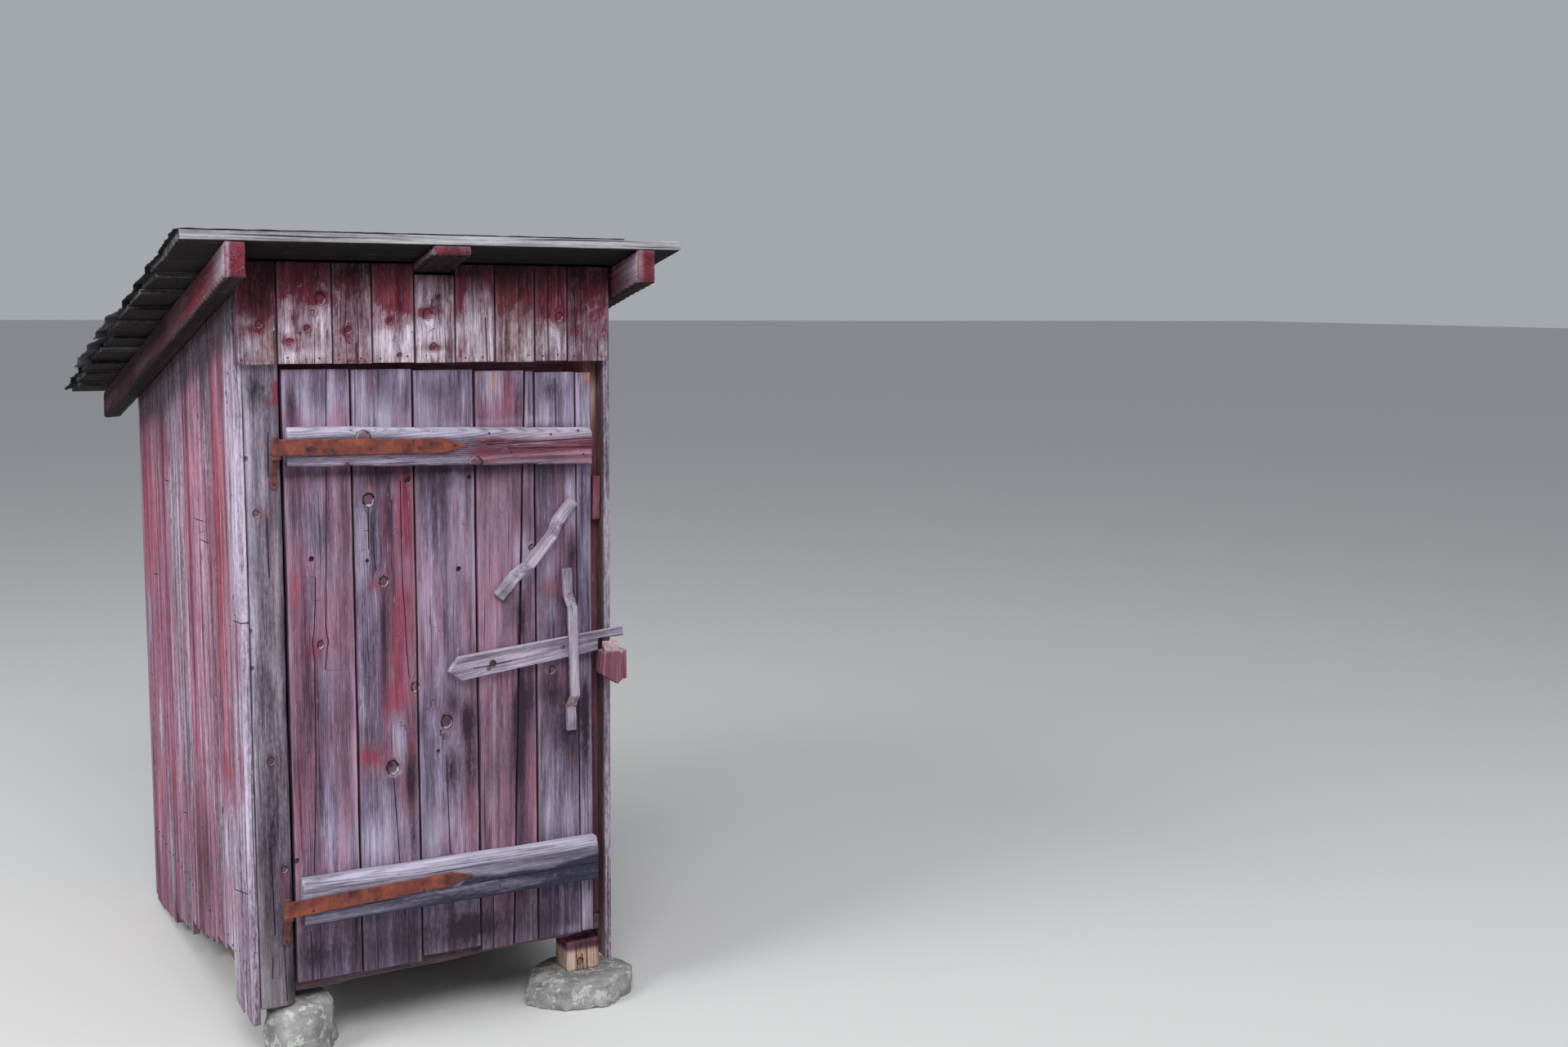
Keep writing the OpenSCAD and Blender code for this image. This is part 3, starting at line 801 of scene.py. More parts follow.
def makeTimber(name, node, body, slot, look, marks, axes=(0, 2), turn=upright, voxel=0.0075, **values):
    low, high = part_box(node)
    finish = look if isinstance(look, bpy.types.Material) else timberFinish(name + "Wood", look)
    values = {"Origin": (low + high) / 2, "Turn": turn, "Finish": finish, **values}
    piece = reshaped(name, node, "weathered", voxel, values)
    dress(piece, marks, axes)
    finishPiece(piece, body, slot, node)


makeCamera()
makeStudio()
print("camera and studio ready")

# the door: wide boards, a narrow tapering strip and a narrow last one
doorRow = {
    "look": {
        "light": tint(174, 163, 190), "mid": tint(116, 102, 124), "dark": tint(54, 44, 58), "blotch": 0.45,
        # the dark colour for dirt on this line also paints shade
        "blue": tint(76, 68, 88), "blotchSize": (26, 24, 3), "grime": tint(50, 36, 49), "dirtAndShadeShare": 1.5,
        "crackShare": 0.5, "streaks": 0.5, "smudges": 1.5, "clouds": 1.6, "mottles": 0.5, "fines": 0.7,
        "stain": tint(158, 106, 124), "stainDark": tint(80, 48, 64), "seam": tint(44, 14, 26),
        "top": tint(188, 180, 206), "paint": tint(174, 70, 90), "paintDark": tint(102, 36, 54),
        # the lip share sets the painted highlight below knots
        "coatShare": 0.62, "rimShare": 1.0, "lipShare": 0.85, "knotDark": tint(40, 26, 32),
        "knotLight": tint(116, 84, 90), "holeShare": 1},
    "thick": 22,
    # left and right edge at the foot, the same at the head, foot, head
    "boards": [
        (115.3, 285.5, 115.3, 285.5, 56, 1640), (288.5, 447.5, 288.5, 446.5, 55, 1638),
        (451, 612.5, 450, 612, 68, 1634), (615.5, 705, 615.5, 752.5, 55, 1630),
        (708.5, 778.5, 756, 779.5, 56, 1627), (781.5, 907, 782.5, 896, 57, 1624),
        (908.5, 944, 897.5, 943, 60, 1622)],
    "faces": [0.4, 0.2, 1.6, 0.5, 1.8, 0.6, 1.4],
    "cups": [0.7, -0.9, 0.9, -0.6, 0.5, 0.8, 0.3],
    "height": 1640,
    "shares": [0.2, 0.08, 0.08, 0.28, 0.16, 0.06, -0.06],
    "hollows": [
        (374, 602, 13, 15, 9), (378, 570, 20, 14, -1.5), (197, 941, 8, 9, 4), (180, 1162, 6, 7, 3),
        (526, 703, 15, 24, 2), (443, 806, 11, 16, 4), (328, 1305, 14, 15, 3), (565, 1110, 6, 7, 3)],
    "marks": {
        "paintPatches": [
            (138, 1100, 24, 70, 0.35), (134, 1050, 20, 70, 0.25), (250, 1030, 34, 160, 0.14),
            (168, 925, 20, 20, 0.55), (140, 780, 34, 200, 0.14), (132, 540, 14, 90, 0.5),
            (185, 1250, 26, 120, -0.3), (176, 1060, 8, 60, -0.35), (200, 800, 14, 110, -0.35),
            (208, 480, 26, 130, -0.4), (175, 1580, 16, 60, -0.4), (222, 1580, 12, 60, -0.35),
            (337, 1580, 7, 70, 0.6), (300, 1580, 22, 70, -0.25), (415, 1570, 24, 60, 0.15),
            (425, 1230, 26, 130, 0.8), (428, 1350, 18, 40, 0.5), (372, 1250, 10, 80, 0.45),
            (335, 1085, 16, 14, 0.6), (410, 1010, 30, 110, 0.9), (404, 890, 32, 80, 0.8),
            (414, 800, 24, 60, 0.7), (384, 780, 26, 36, 0.8), (314, 634, 36, 26, 1.1),
            (432, 640, 12, 90, 0.8), (415, 520, 20, 60, 0.6), (345, 1215, 8, 80, -0.5),
            (310, 1200, 20, 100, -0.5), (318, 900, 24, 180, -0.4), (350, 470, 46, 90, -0.5),
            (396, 660, 16, 60, -0.5), (580, 900, 20, 200, 0.16), (590, 480, 16, 120, 0.25),
            (490, 1250, 40, 100, -0.25), (490, 600, 40, 200, -0.25), (470, 1040, 20, 80, 0.1),
            (670, 1150, 46, 240, 0.14), (650, 560, 20, 160, 0.15), (708, 1560, 14, 60, 0.4),
            (640, 1480, 20, 30, 0.2), (737, 617, 8, 8, 0.7), (768, 490, 9, 110, 0.6),
            (830, 1035, 36, 20, 0.6), (850, 1130, 40, 60, 0.15), (830, 790, 50, 60, 0.25),
            (880, 562, 30, 12, 0.35), (840, 420, 50, 140, -0.3), (840, 1570, 60, 70, -0.35),
            (800, 1330, 24, 60, -0.25), (292, 120, 8, 70, 0.5), (500, 1590, 500, 60, -0.3),
            (400, 110, 300, 80, -0.55), (900, 110, 100, 80, -0.6)],
        # painted shadow: the band along 1378 high and the patches just below it, under the upper batten, the
        # patches around the keeper near 885 across, and the dark spot at 374, 604 in the knothole
        "grimePatches": [
            (516, 1300, 44, 90, 0.35), (487, 540, 18, 170, 0.35), (320, 500, 20, 40, 0.15),
            (358, 1295, 18, 80, 0.12), (850, 640, 40, 110, 0.3), (430, 1378, 500, 13, 0.5),
            (380, 1370, 70, 26, 0.15), (650, 1362, 60, 26, 0.3), (362, 965, 8, 110, 0.8),
            (298, 900, 6, 130, 0.35), (372, 562, 14, 18, 0.5), (432, 400, 10, 80, 0.5),
            (318, 700, 24, 34, 0.45), (352, 1350, 34, 20, 0.2), (382, 1240, 10, 60, 0.4),
            (338, 1200, 5, 70, 0.5), (300, 1040, 14, 60, 0.35), (490, 760, 16, 40, 0.4),
            (462, 700, 16, 50, 0.45), (548, 760, 16, 40, 0.5), (560, 1350, 60, 26, 0.2),
            (560, 960, 12, 110, 0.1), (496, 860, 7, 60, 0.4), (590, 620, 16, 120, 0.4),
            (530, 1250, 8, 90, 0.35), (480, 1230, 6, 120, 0.3), (704, 980, 18, 60, 0.45),
            (728, 900, 6, 60, 0.4), (692, 1034, 28, 24, 0.35), (745, 735, 24, 90, 0.8),
            (742, 950, 9, 60, 0.45), (762, 1280, 10, 90, 0.35), (742, 1560, 10, 70, 0.5),
            (740, 420, 12, 100, 0.35), (820, 755, 50, 36, 0.4), (862, 620, 36, 60, 0.3),
            (800, 1330, 26, 50, 0.4), (830, 1580, 34, 46, 0.65), (920, 1280, 16, 170, 0.2),
            (906, 1100, 12, 130, 0.2), (925, 650, 12, 150, 0.4), (850, 1010, 40, 20, 0.25),
            (530, 125, 700, 74, 0.58), (922, 125, 26, 90, -0.8), (860, 110, 40, 70, -0.3),
            (178, 1590, 8, 50, 0.4), (216, 1590, 8, 60, 0.4), (520, 1580, 60, 50, 0.3),
            (374, 604, 10, 9, 1.0), (140, 1560, 14, 60, 0.4), (425, 1570, 16, 50, 0.2),
            (140, 1290, 20, 80, 0.3), (268, 1290, 18, 80, 0.28), (592, 1290, 20, 70, 0.2),
            (726, 1280, 24, 90, 0.45), (886, 1130, 16, 50, 0.4), (728, 990, 14, 60, 0.25),
            (750, 990, 20, 60, 0.25), (588, 705, 26, 66, 0.75), (640, 705, 24, 70, 0.35),
            (724, 700, 16, 90, 0.45), (925, 700, 20, 90, 0.55), (426, 560, 22, 80, 0.5),
            (380, 530, 22, 60, 0.18), (536, 570, 22, 70, 0.4), (590, 560, 22, 80, 0.45),
            (660, 560, 60, 90, 0.38), (744, 560, 20, 90, 0.25), (910, 560, 40, 80, 0.32),
            (428, 400, 18, 60, 0.2), (690, 400, 36, 70, 0.3), (430, 1545, 12, 50, 0.3),
            (135, 1540, 14, 70, 0.3), (730, 560, 16, 90, 0.3), (840, 700, 40, 60, 0.2),
            (180, 130, 60, 60, 0.25), (590, 130, 60, 60, 0.3), (140, 1000, 20, 90, 0.16),
            (140, 700, 22, 160, 0.14), (205, 850, 20, 70, 0.25), (310, 1060, 20, 170, 0.28),
            (430, 560, 16, 90, 0.35), (884, 1130, 20, 70, 0.3), (884, 985, 26, 70, 0.5),
            (884, 700, 26, 70, 0.5), (718, 700, 18, 80, 0.22), (712, 560, 18, 90, 0.24),
            (530, 705, 22, 70, 0.26), (530, 570, 22, 90, 0.2), (744, 900, 18, 160, 0.1),
            (340, 560, 22, 80, 0.15)],
        # the patch at 386, 580 is the knothole's lower lip, a painted highlight
        "palePatches": [
            (120, 1560, 6, 80, 0.4), (279, 560, 4, 230, 0.7), (606, 1320, 4, 90, 0.7),
            (600, 1000, 5, 120, 0.4), (470, 1040, 20, 60, 0.35), (455, 560, 5, 230, 0.4),
            (345, 1250, 5, 60, 0.6), (306, 1230, 10, 60, 0.35), (398, 665, 10, 55, 0.8),
            (386, 580, 11, 8, 1.0), (362, 450, 14, 110, 0.4), (300, 440, 7, 110, 0.35),
            (500, 400, 26, 80, 0.35), (658, 720, 3, 110, 0.6), (653, 560, 8, 150, 0.25),
            (676, 1100, 50, 260, 0.34), (660, 560, 44, 160, 0.25), (835, 1600, 18, 34, 0.45),
            (790, 1500, 60, 12, 0.4), (560, 1492, 300, 10, 0.3), (880, 1300, 10, 70, 0.55),
            (826, 815, 14, 7, 0.9), (835, 690, 16, 30, 0.4), (815, 430, 7, 60, 0.55),
            (862, 380, 26, 60, 0.35), (925, 125, 20, 60, 1.0), (870, 72, 40, 12, 0.6),
            (930, 600, 6, 200, 0.3), (372, 1330, 34, 16, 0.3), (204, 870, 4, 50, 0.4),
            (545, 770, 4, 40, 0.5), (350, 1520, 44, 44, 0.7), (478, 1520, 32, 44, 0.6),
            (200, 1520, 26, 44, 0.35), (808, 1520, 26, 44, 0.6), (886, 1525, 20, 50, 0.55),
            (926, 1530, 18, 60, 0.4), (886, 1270, 18, 80, 0.3), (560, 1130, 46, 70, 0.35),
            (745, 1130, 20, 70, 0.6), (812, 1130, 40, 60, 0.35), (926, 1130, 18, 80, 0.35),
            (235, 1120, 40, 70, 0.25), (545, 990, 30, 70, 0.35), (820, 985, 36, 40, 0.35),
            (240, 850, 30, 80, 0.28), (530, 850, 22, 70, 0.25), (815, 860, 30, 40, 0.5),
            (475, 710, 20, 70, 0.3), (320, 400, 32, 60, 0.95), (374, 400, 26, 60, 0.3),
            (478, 400, 28, 60, 0.5), (800, 410, 24, 60, 0.85), (750, 1125, 20, 60, 0.85),
            (350, 1500, 50, 30, 0.4), (355, 1550, 20, 50, 0.3), (312, 1570, 20, 50, 0.4),
            (470, 1570, 18, 50, 0.35), (590, 1560, 16, 50, 0.4), (810, 1570, 20, 40, 0.4),
            (926, 850, 14, 70, 0.5), (884, 1290, 18, 70, 0.4), (420, 1120, 16, 60, 0.35),
            (426, 850, 10, 90, 0.4), (884, 1440, 16, 50, 0.2), (800, 850, 18, 60, 0.35),
            (815, 720, 20, 40, 0.2), (800, 560, 18, 90, 0.45), (885, 400, 20, 60, 0.3),
            (265, 400, 22, 60, 0.3), (794, 700, 14, 60, 0.35)],
        "freshPatches": [
            (666, 1598, 7, 26, 0.9), (934, 1612, 12, 16, 1.0), (333, 1332, 9, 14, 0.7),
            (390, 640, 12, 46, 0.25), (930, 90, 18, 40, 0.3)],
        "knots": [
            (328, 1305, 14), (180, 1162, 6), (197, 941, 8), (363, 1092, 11), (322, 1148, 4), (565, 1110, 6),
            (378, 596, 15), (526, 703, 15), (443, 806, 12), (737, 617, 6), (770, 1155, 8), (826, 815, 9),
            (122, 382, 6), (598, 1352, 5), (433, 1352, 7), (502, 626, 4)],
        "splits": [
            ((228, 1640), (222, 1400), (219, 1250), (215, 1100), (212, 990), (216, 945), (208, 880)),
            ((188, 1110), (186, 1050), (182, 985), (177, 945), (181, 900), (180, 850), (177, 600),
             (166, 350)),
            ((153, 190), (156, 50)),
            ((412, 1350), (412, 1150), (413, 1080), (418, 1000), (421, 900), (426, 830)),
            ((327, 1280), (326, 1180)), ((524, 600), (530, 350)), ((840, 1600), (842, 1480)),
            ((380, 560), (392, 330)), ((650, 300), (648, 60))],
    },
}


def makeDoorBoards():
    row = doorRow
    boards = [{"foot": b[0:2], "head": b[2:4], "bottom": b[4], "top": b[5], "thick": row["thick"],
               "face": face, "cup": cup} for b, face, cup in zip(row["boards"], row["faces"], row["cups"])]
    finish = timberFinish("doorPaint", row["look"])
    piece = makeBoards("doorBoards", boards, Matrix.Translation(hut(0, 0, 0)), finish, seed=3.1, Across=18,
                       Along=150, Wave=0.0024)

    def paintLeft(points, normals):
        amount = np.zeros(len(points))
        for board, share in zip(row["boards"], row["shares"]):
            left = board[0] + (board[2] - board[0]) * points[:, 2] / row["height"]
            amount[points[:, 0] > left - 2] = share
        return amount

    dress(piece, {**row["marks"], "paint": paintLeft}, outward=(0, -1, 0))
    dent(piece, row["hollows"], (0, 2), (0, 1, 0))
    finishPiece(piece, "door", "door_paint", "door_boards")


makeDoorBoards()

batten = {
    "look": {"light": tint(170, 160, 182), "mid": tint(114, 104, 126), "dark": tint(50, 46, 60),
             "stain": tint(150, 76, 90), "stainDark": tint(78, 34, 46), "tones": 0, "rings": 0.35,
             "paint": tint(156, 60, 80), "paintDark": tint(84, 26, 44), "top": tint(186, 180, 198),
             "ringWidth": 0.004, "grime": tint(46, 46, 62), "blotch": 0.2, "streaks": 0.5, "fibres": 0.3,
             "dirtAndShadeShare": 1.2},
    "between": 800,  # a height between the two battens
    # heights along X at which the bleached upper part ends, on the upper and on the lower batten
    "bleachedUpper": ((120, 1472), (560, 1470), (660, 1462), (690, 1450), (850, 1446), (950, 1446)),
    "bleachedLower": ((120, 260), (540, 264), (570, 284), (650, 276), (800, 271), (870, 284), (950, 290)),
    "marks": {
        "grimePatches": [
            (250, 860, 40, 90, 0.35), (1432, 915, 6, 30, 0.6), (1384, 780, 5, 90, 0.7),
            (288, 210, 4, 30, 0.6), (283, 330, 5, 10, 0.8), (290, 500, 4, 30, 0.5), (1420, 640, 8, 30, 0.3),
            (1402, 270, 5, 14, 0.5)],
        "palePatches": [
            (206, 700, 4, 160, 0.4), (1392, 760, 5, 150, 0.6), (214, 815, 8, 10, 0.5),
            (1405, 330, 10, 160, 0.35), (1480, 312, 5, 16, 0.6)],
        "paintPatches": [(1396, 265, 10, 20, 0.5), (1412, 630, 12, 26, 0.4)],
        "knots": [(1470, 308, 15), (1396, 602, 14), (1397, 262, 8), (255, 830, 9)],
        "splits": [((1440, 640), (1448, 930)), ((262, 600), (266, 930)), ((1428, 700), (1424, 934))],
    },
}


def bleached(points, normals):
    # how bleached the battens are: their upper sides and the strips below them
    x, z = points[:, 0], points[:, 2]
    lines = [np.interp(x, *zip(*batten[name])) for name in ("bleachedUpper", "bleachedLower")]
    wave = 1.5 * np.sin(x / 41) + np.sin(x / 17)
    upper = z > batten["between"]
    above = np.clip((z - np.where(upper, *lines) + wave) / 9 + 0.5, 0, 1)
    share = np.where(upper, 0.7, np.interp(x, (120, 400, 900), (0.75, 0.7, 0.4)))
    return np.maximum(above * share, np.clip(normals[:, 2] * 2.2, 0, 1))


def battenDirtAndShade(points, normals):
    # dirt on the battens' faces where they are not bleached, and painted shade on their undersides
    x, z = points[:, 0], points[:, 2]
    face = np.where(z > batten["between"], 0.04, np.interp(x, (120, 380, 520), (0.4, 0.6, 0.85)))
    return face * (1 - bleached(points, normals)) ** 2 + np.clip(-normals[:, 2], 0, 1) * 0.5


def battenRed(points, normals):
    x, z = points[:, 0], points[:, 2]
    face = np.where(z > batten["between"], 0.02 + 0.5 * np.clip((x - 580) / 80, 0, 1), -0.4)
    return face - 0.4 * bleached(points, normals)


batten["marks"].update({"paint": battenRed, "pale": bleached, "grime": battenDirtAndShade})
makeTimber("doorBattens", "door_battens", "door", "batten_timber", batten["look"], batten["marks"], (2, 0),
           alongX, 0.0045, Lump=0.005, Groove=0.003, Seed=2.2)

# posts
leftPost = {
    "look": {
        "light": tint(166, 156, 172), "mid": tint(104, 92, 108), "dark": tint(48, 42, 52), "tones": 0,
        "holeShare": 0.5, "lift": -0.06, "stain": tint(132, 98, 114), "stainDark": tint(66, 46, 60),
        "stainShare": 0.5, "crackShare": 0.4, "rings": 0.1, "fibres": 0.4, "flecks": 0.9, "streaks": 0.4,
        "smudges": 1.4, "clouds": 1.7, "grime": tint(42, 38, 48), "mottles": 1.0, "blue": tint(80, 72, 86),
        "damp": tint(140, 134, 132), "dampShare": 0.45, "dampHigh": 0.5, "blotch": 0.35,
        "top": tint(190, 186, 200), "blotchSize": (30, 28, 5)},
    "marks": {
        "paint": 0.0, "pale": lambda p, n: np.clip(n[:, 2], 0, 1) * 0.6,
        "paintPatches": [
            (102, 1585, 10, 28, 1.1), (84, 1560, 12, 16, 0.5), (100, 1500, 8, 120, 0.3),
            (86, 330, 20, 60, 0.5), (96, 230, 12, 60, 0.35), (54, 1282, 12, 16, 0.4),
            (96, 1180, 10, 260, 0.3), (76, 652, 12, 12, 0.3), (80, 590, 20, 40, 0.25),
            (20, 900, 16, 700, -0.2), (40, 150, 30, 120, -0.2)],
        # the dark patches near the top, from about 1570 up, are painted shade
        "grimePatches": [
            (70, 485, 22, 90, 0.8), (50, 440, 20, 60, 0.4), (74, 1150, 9, 250, 0.3),
            (70, 1000, 16, 80, 0.6), (70, 810, 16, 80, 0.35), (60, 1590, 26, 50, 0.6),
            (40, 1610, 14, 50, 0.45), (66, 780, 10, 120, 0.35), (104, 120, 14, 120, 0.6),
            (72, 1400, 6, 160, 0.2), (60, 680, 16, 90, 0.3), (96, 590, 14, 120, 0.4),
            (96, 790, 14, 80, 0.25), (72, 280, 14, 130, 0.3), (20, 540, 16, 140, 0.25),
            (44, 400, 20, 80, 0.2), (60, 1570, 44, 60, 0.25), (98, 50, 12, 50, 0.8),
            (66, 300, 40, 160, 0.2), (70, 600, 16, 90, 0.2), (44, 1000, 12, 90, 0.2)],
        "palePatches": [
            (14, 900, 16, 900, 0.6), (24, 300, 12, 300, 0.35), (34, 1300, 20, 260, 0.25),
            (40, 1060, 12, 200, 0.3), (92, 900, 5, 500, 0.2), (96, 1200, 12, 110, 0.6),
            (96, 1400, 12, 90, 0.35), (68, 1390, 14, 90, 0.3), (44, 60, 20, 50, 0.3),
            (30, 1500, 12, 120, 0.3), (100, 1420, 8, 90, 0.3)],
        "knots": [(24, 1422, 5), (46, 1284, 8), (64, 652, 9), (90, 366, 8), (22, 990, 5), (24, 895, 5)],
        "splits": [
            ((72, 1260), (73, 1130)), ((58, 420), (62, 200)), ((54, 130), (52, 90)),
            ((80, 1480), (78, 1380)), ((84, 200), (88, 20))],
    },
}
makeTimber("leftPost", "post_front_left", "hut", "grey_timber", leftPost["look"], leftPost["marks"],
           voxel=0.0042, Lump=0.004, Groove=0.003, Seed=3.4)

rightPost = {
    "look": {
        "light": tint(130, 84, 92), "mid": tint(84, 42, 52), "dark": tint(38, 22, 30), "stainShare": 0.7,
        "paint": tint(118, 46, 54), "paintDark": tint(64, 22, 32), "fresh": tint(236, 222, 208),
        "freshDark": tint(168, 112, 80), "dampShare": 0},
    "marks": {
        "paint": lambda p, n: 0.25 + 0.7 * np.clip((p[:, 2] - 1050) / 250, 0, 1),
        "fresh": lambda p, n: np.clip((-4 - p[:, 2]) / 14, 0, 1) * 0.9,
        "freshPatches": [(952, 1560, 20, 60, 0.75), (950, 1440, 9, 90, 0.5)],
        "grimePatches": [(940, 4, 60, 8, 0.6), (930, 800, 60, 300, 0.2)],
        "knots": [(918, -44, 9), (950, 404, 6), (930, 1214, 6)],
        "splits": [((905, -10), (910, -75)), ((938, -10), (940, -75)), ((925, -30), (928, -75))],
    },
}
makeTimber("rightPost", "post_front_right", "hut", "red_timber", rightPost["look"], rightPost["marks"],
           voxel=0.006, Lump=0.003, Groove=0.003, Seed=5.1)

# timber that hardly shows: bare and brown
hiddenWood = timberFinish("hiddenWood", {
    "light": tint(168, 148, 128), "mid": tint(124, 104, 86), "dark": tint(66, 54, 48), "blotch": 0.2,
    "stainShare": 0, "coatShare": 0, "dampShare": 0.15, "blue": tint(104, 98, 96)})
hiddenTimbers = {
    "backPosts": ("back_posts", (0, 2), upright),
    "backSill": ("sill_back", (2, 0), alongX),
    "sideSills": ("side_sills", (2, 1), alongY),
    "frontPlate": ("plate_front", (2, 0), alongX),
    "backPlate": ("plate_back", (2, 0), alongX),
}
for name, (node, axes, turn) in hiddenTimbers.items():
    makeTimber(name, node, "hut", "inner_timber", hiddenWood, None, axes, turn, 0.011, Seed=float(len(name)))

redBeam = {
    "look": {"light": tint(132, 96, 104), "mid": tint(92, 60, 68), "dark": tint(42, 28, 36), "tones": 0,
             "paint": tint(112, 46, 52), "paintDark": tint(60, 24, 30), "top": tint(150, 124, 132)},
    "sill": {"paint": -0.05, "pale": 0.35, "splits": [((70, 300), (66, 520)), ((50, 600), (52, 860))]},
    "header": {"paint": 0.5, "grime": 0.25},
}
redWood = timberFinish("redBeam", redBeam["look"])
makeTimber("frontSill", "sill_front", "hut", "red_timber", redWood, redBeam["sill"], (2, 0), alongX,
           Lump=0.005, Seed=6.2)
makeTimber("doorHeader", "door_header", "hut", "red_timber", redWood, redBeam["header"], (2, 0), alongX,
           Seed=7.7)
makeTimber("jambBlock", "jamb_block", "hut", "red_timber", redWood, {"paint": 0.6}, voxel=0.003, Seed=8.8)

rafters = {
    "look": {
        "light": tint(178, 164, 176), "mid": tint(112, 78, 88), "dark": tint(46, 28, 36), "dampShare": 0,
        "paint": tint(136, 40, 54), "paintDark": tint(72, 18, 30), "top": tint(196, 186, 202),
        "grime": tint(16, 8, 10), "lip": tint(150, 60, 70), "coatShare": 0.95},
    "marks": {
        # front ends painted red, the sides pale in front and red behind; the undersides get near-black
        # painted shade and the sides more painted shade towards the back, under the roof
        "paint": lambda p, n: 0.6 + 0.3 * (n[:, 1] < -0.6) + 0.14 * np.sin(p[:, 1] / 90),
        "grime": lambda p, n: np.clip(-n[:, 2] * 1.3, 0, 1) + ease(p[:, 1], -60, 800, 0.85) * (n[:, 2] < 0.5),
        "pale": lambda p, n: (0.8 * np.clip(1 - (p[:, 1] + 160) / 110, 0, 1) * (np.abs(n[:, 0]) > 0.9)
                              + 0.3 * (n[:, 2] < -0.25) * (n[:, 0] < -0.25) * (p[:, 1] < 500)),
        "palePatches": [(-44, -182, 3, 8, 0.8), (1010, -182, 6, 12, 0.4)],
    },
}
rafterWood = timberFinish("rafterWood", rafters["look"])
makeTimber("sideRafters", "side_rafters", "hut", "red_timber", rafterWood, rafters["marks"], (0, 1),
           downSlope, Lump=0.004, Seed=9.3)
makeTimber("middleRafter", "rafter_middle", "hut", "roof_timber", rafterWood, rafters["marks"], (0, 1),
           downSlope, Lump=0.003, Seed=10.4)

catch = {
    "look": {
        "light": tint(172, 156, 166), "mid": tint(126, 84, 96), "dark": tint(60, 34, 44), "tones": 0,
        "top": tint(196, 186, 192), "dampShare": 0, "paint": tint(140, 50, 60),
        "paintDark": tint(84, 24, 36)},
    "marks": {"paint": lambda p, n: 0.45 + 0.3 * (n[:, 0] > 0.4),
              "pale": lambda p, n: np.clip(n[:, 2], 0, 1)},
}
makeTimber("latchCatch", "latch_catch", "hut", "red_timber", catch["look"], catch["marks"], voxel=0.0028,
           Lump=0.004, Groove=0.003, Seed=11.9)

# wooden latch parts and handle, silvery bare wood
bareLook = {"light": tint(200, 190, 206), "mid": tint(146, 134, 152), "dark": tint(70, 62, 76), "tones": 0,
            "stainShare": 0.15, "coatShare": 0, "top": tint(208, 198, 214), "dampShare": 0, "blotch": 0.25,
            "fibres": 0.6, "streaks": 0.6, "ringWidth": 0.004, "crackShare": 0.3, "grime": tint(74, 64, 72)}
bareWood = timberFinish("bareWood", bareLook)
latchParts = {
    "bar": {"pale": lambda p, n: np.clip(n[:, 2], 0, 1) * 0.8, "grimePatches": [(880, 600, 30, 70, 0.2)],
            "knots": [(842, 634, 5), (881, 846, 5)], "splits": [((846, 600), (856, 690))]},
    "handle": {"pale": lambda p, n: np.clip(-n[:, 1] - 0.85, 0, 1) * 3,
               "grimePatches": [(690, 1045, 34, 34, 0.8), (880, 1250, 24, 30, 0.6)]},
    "keeper": {"pale": lambda p, n: np.clip(-n[:, 1] - 0.8, 0, 1) * 2, "grime": 0.12,
               "grimePatches": [(880, 1080, 40, 26, 0.4), (880, 655, 40, 24, 0.5)],
               "freshPatches": [(880, 722, 20, 8, 0.7)], "paintPatches": [(880, 730, 30, 8, 0.5)]},
}
barAngle = math.radians(-84)
handleAngle = math.radians(-40.7)
makeTimber("latchBar", "latch_bar", "latch", "bare_wood", bareWood, latchParts["bar"], (2, 0),
           (0, barAngle, 0), 0.002, Lump=0.0018, Groove=0.001, Seed=12.1)
makeTimber("doorHandle", "door_handle", "door", "bare_wood", bareWood, latchParts["handle"], (0, 2),
           (0, handleAngle, 0), 0.0018, Lump=0.0016, Groove=0.001, Seed=13.3)
makeTimber("latchKeeper", "latch_keeper", "door", "bare_wood", bareWood, latchParts["keeper"], (0, 2),
           voxel=0.0018, Lump=0.0014, Groove=0.0008, Seed=14.5)
print("timbers ready")

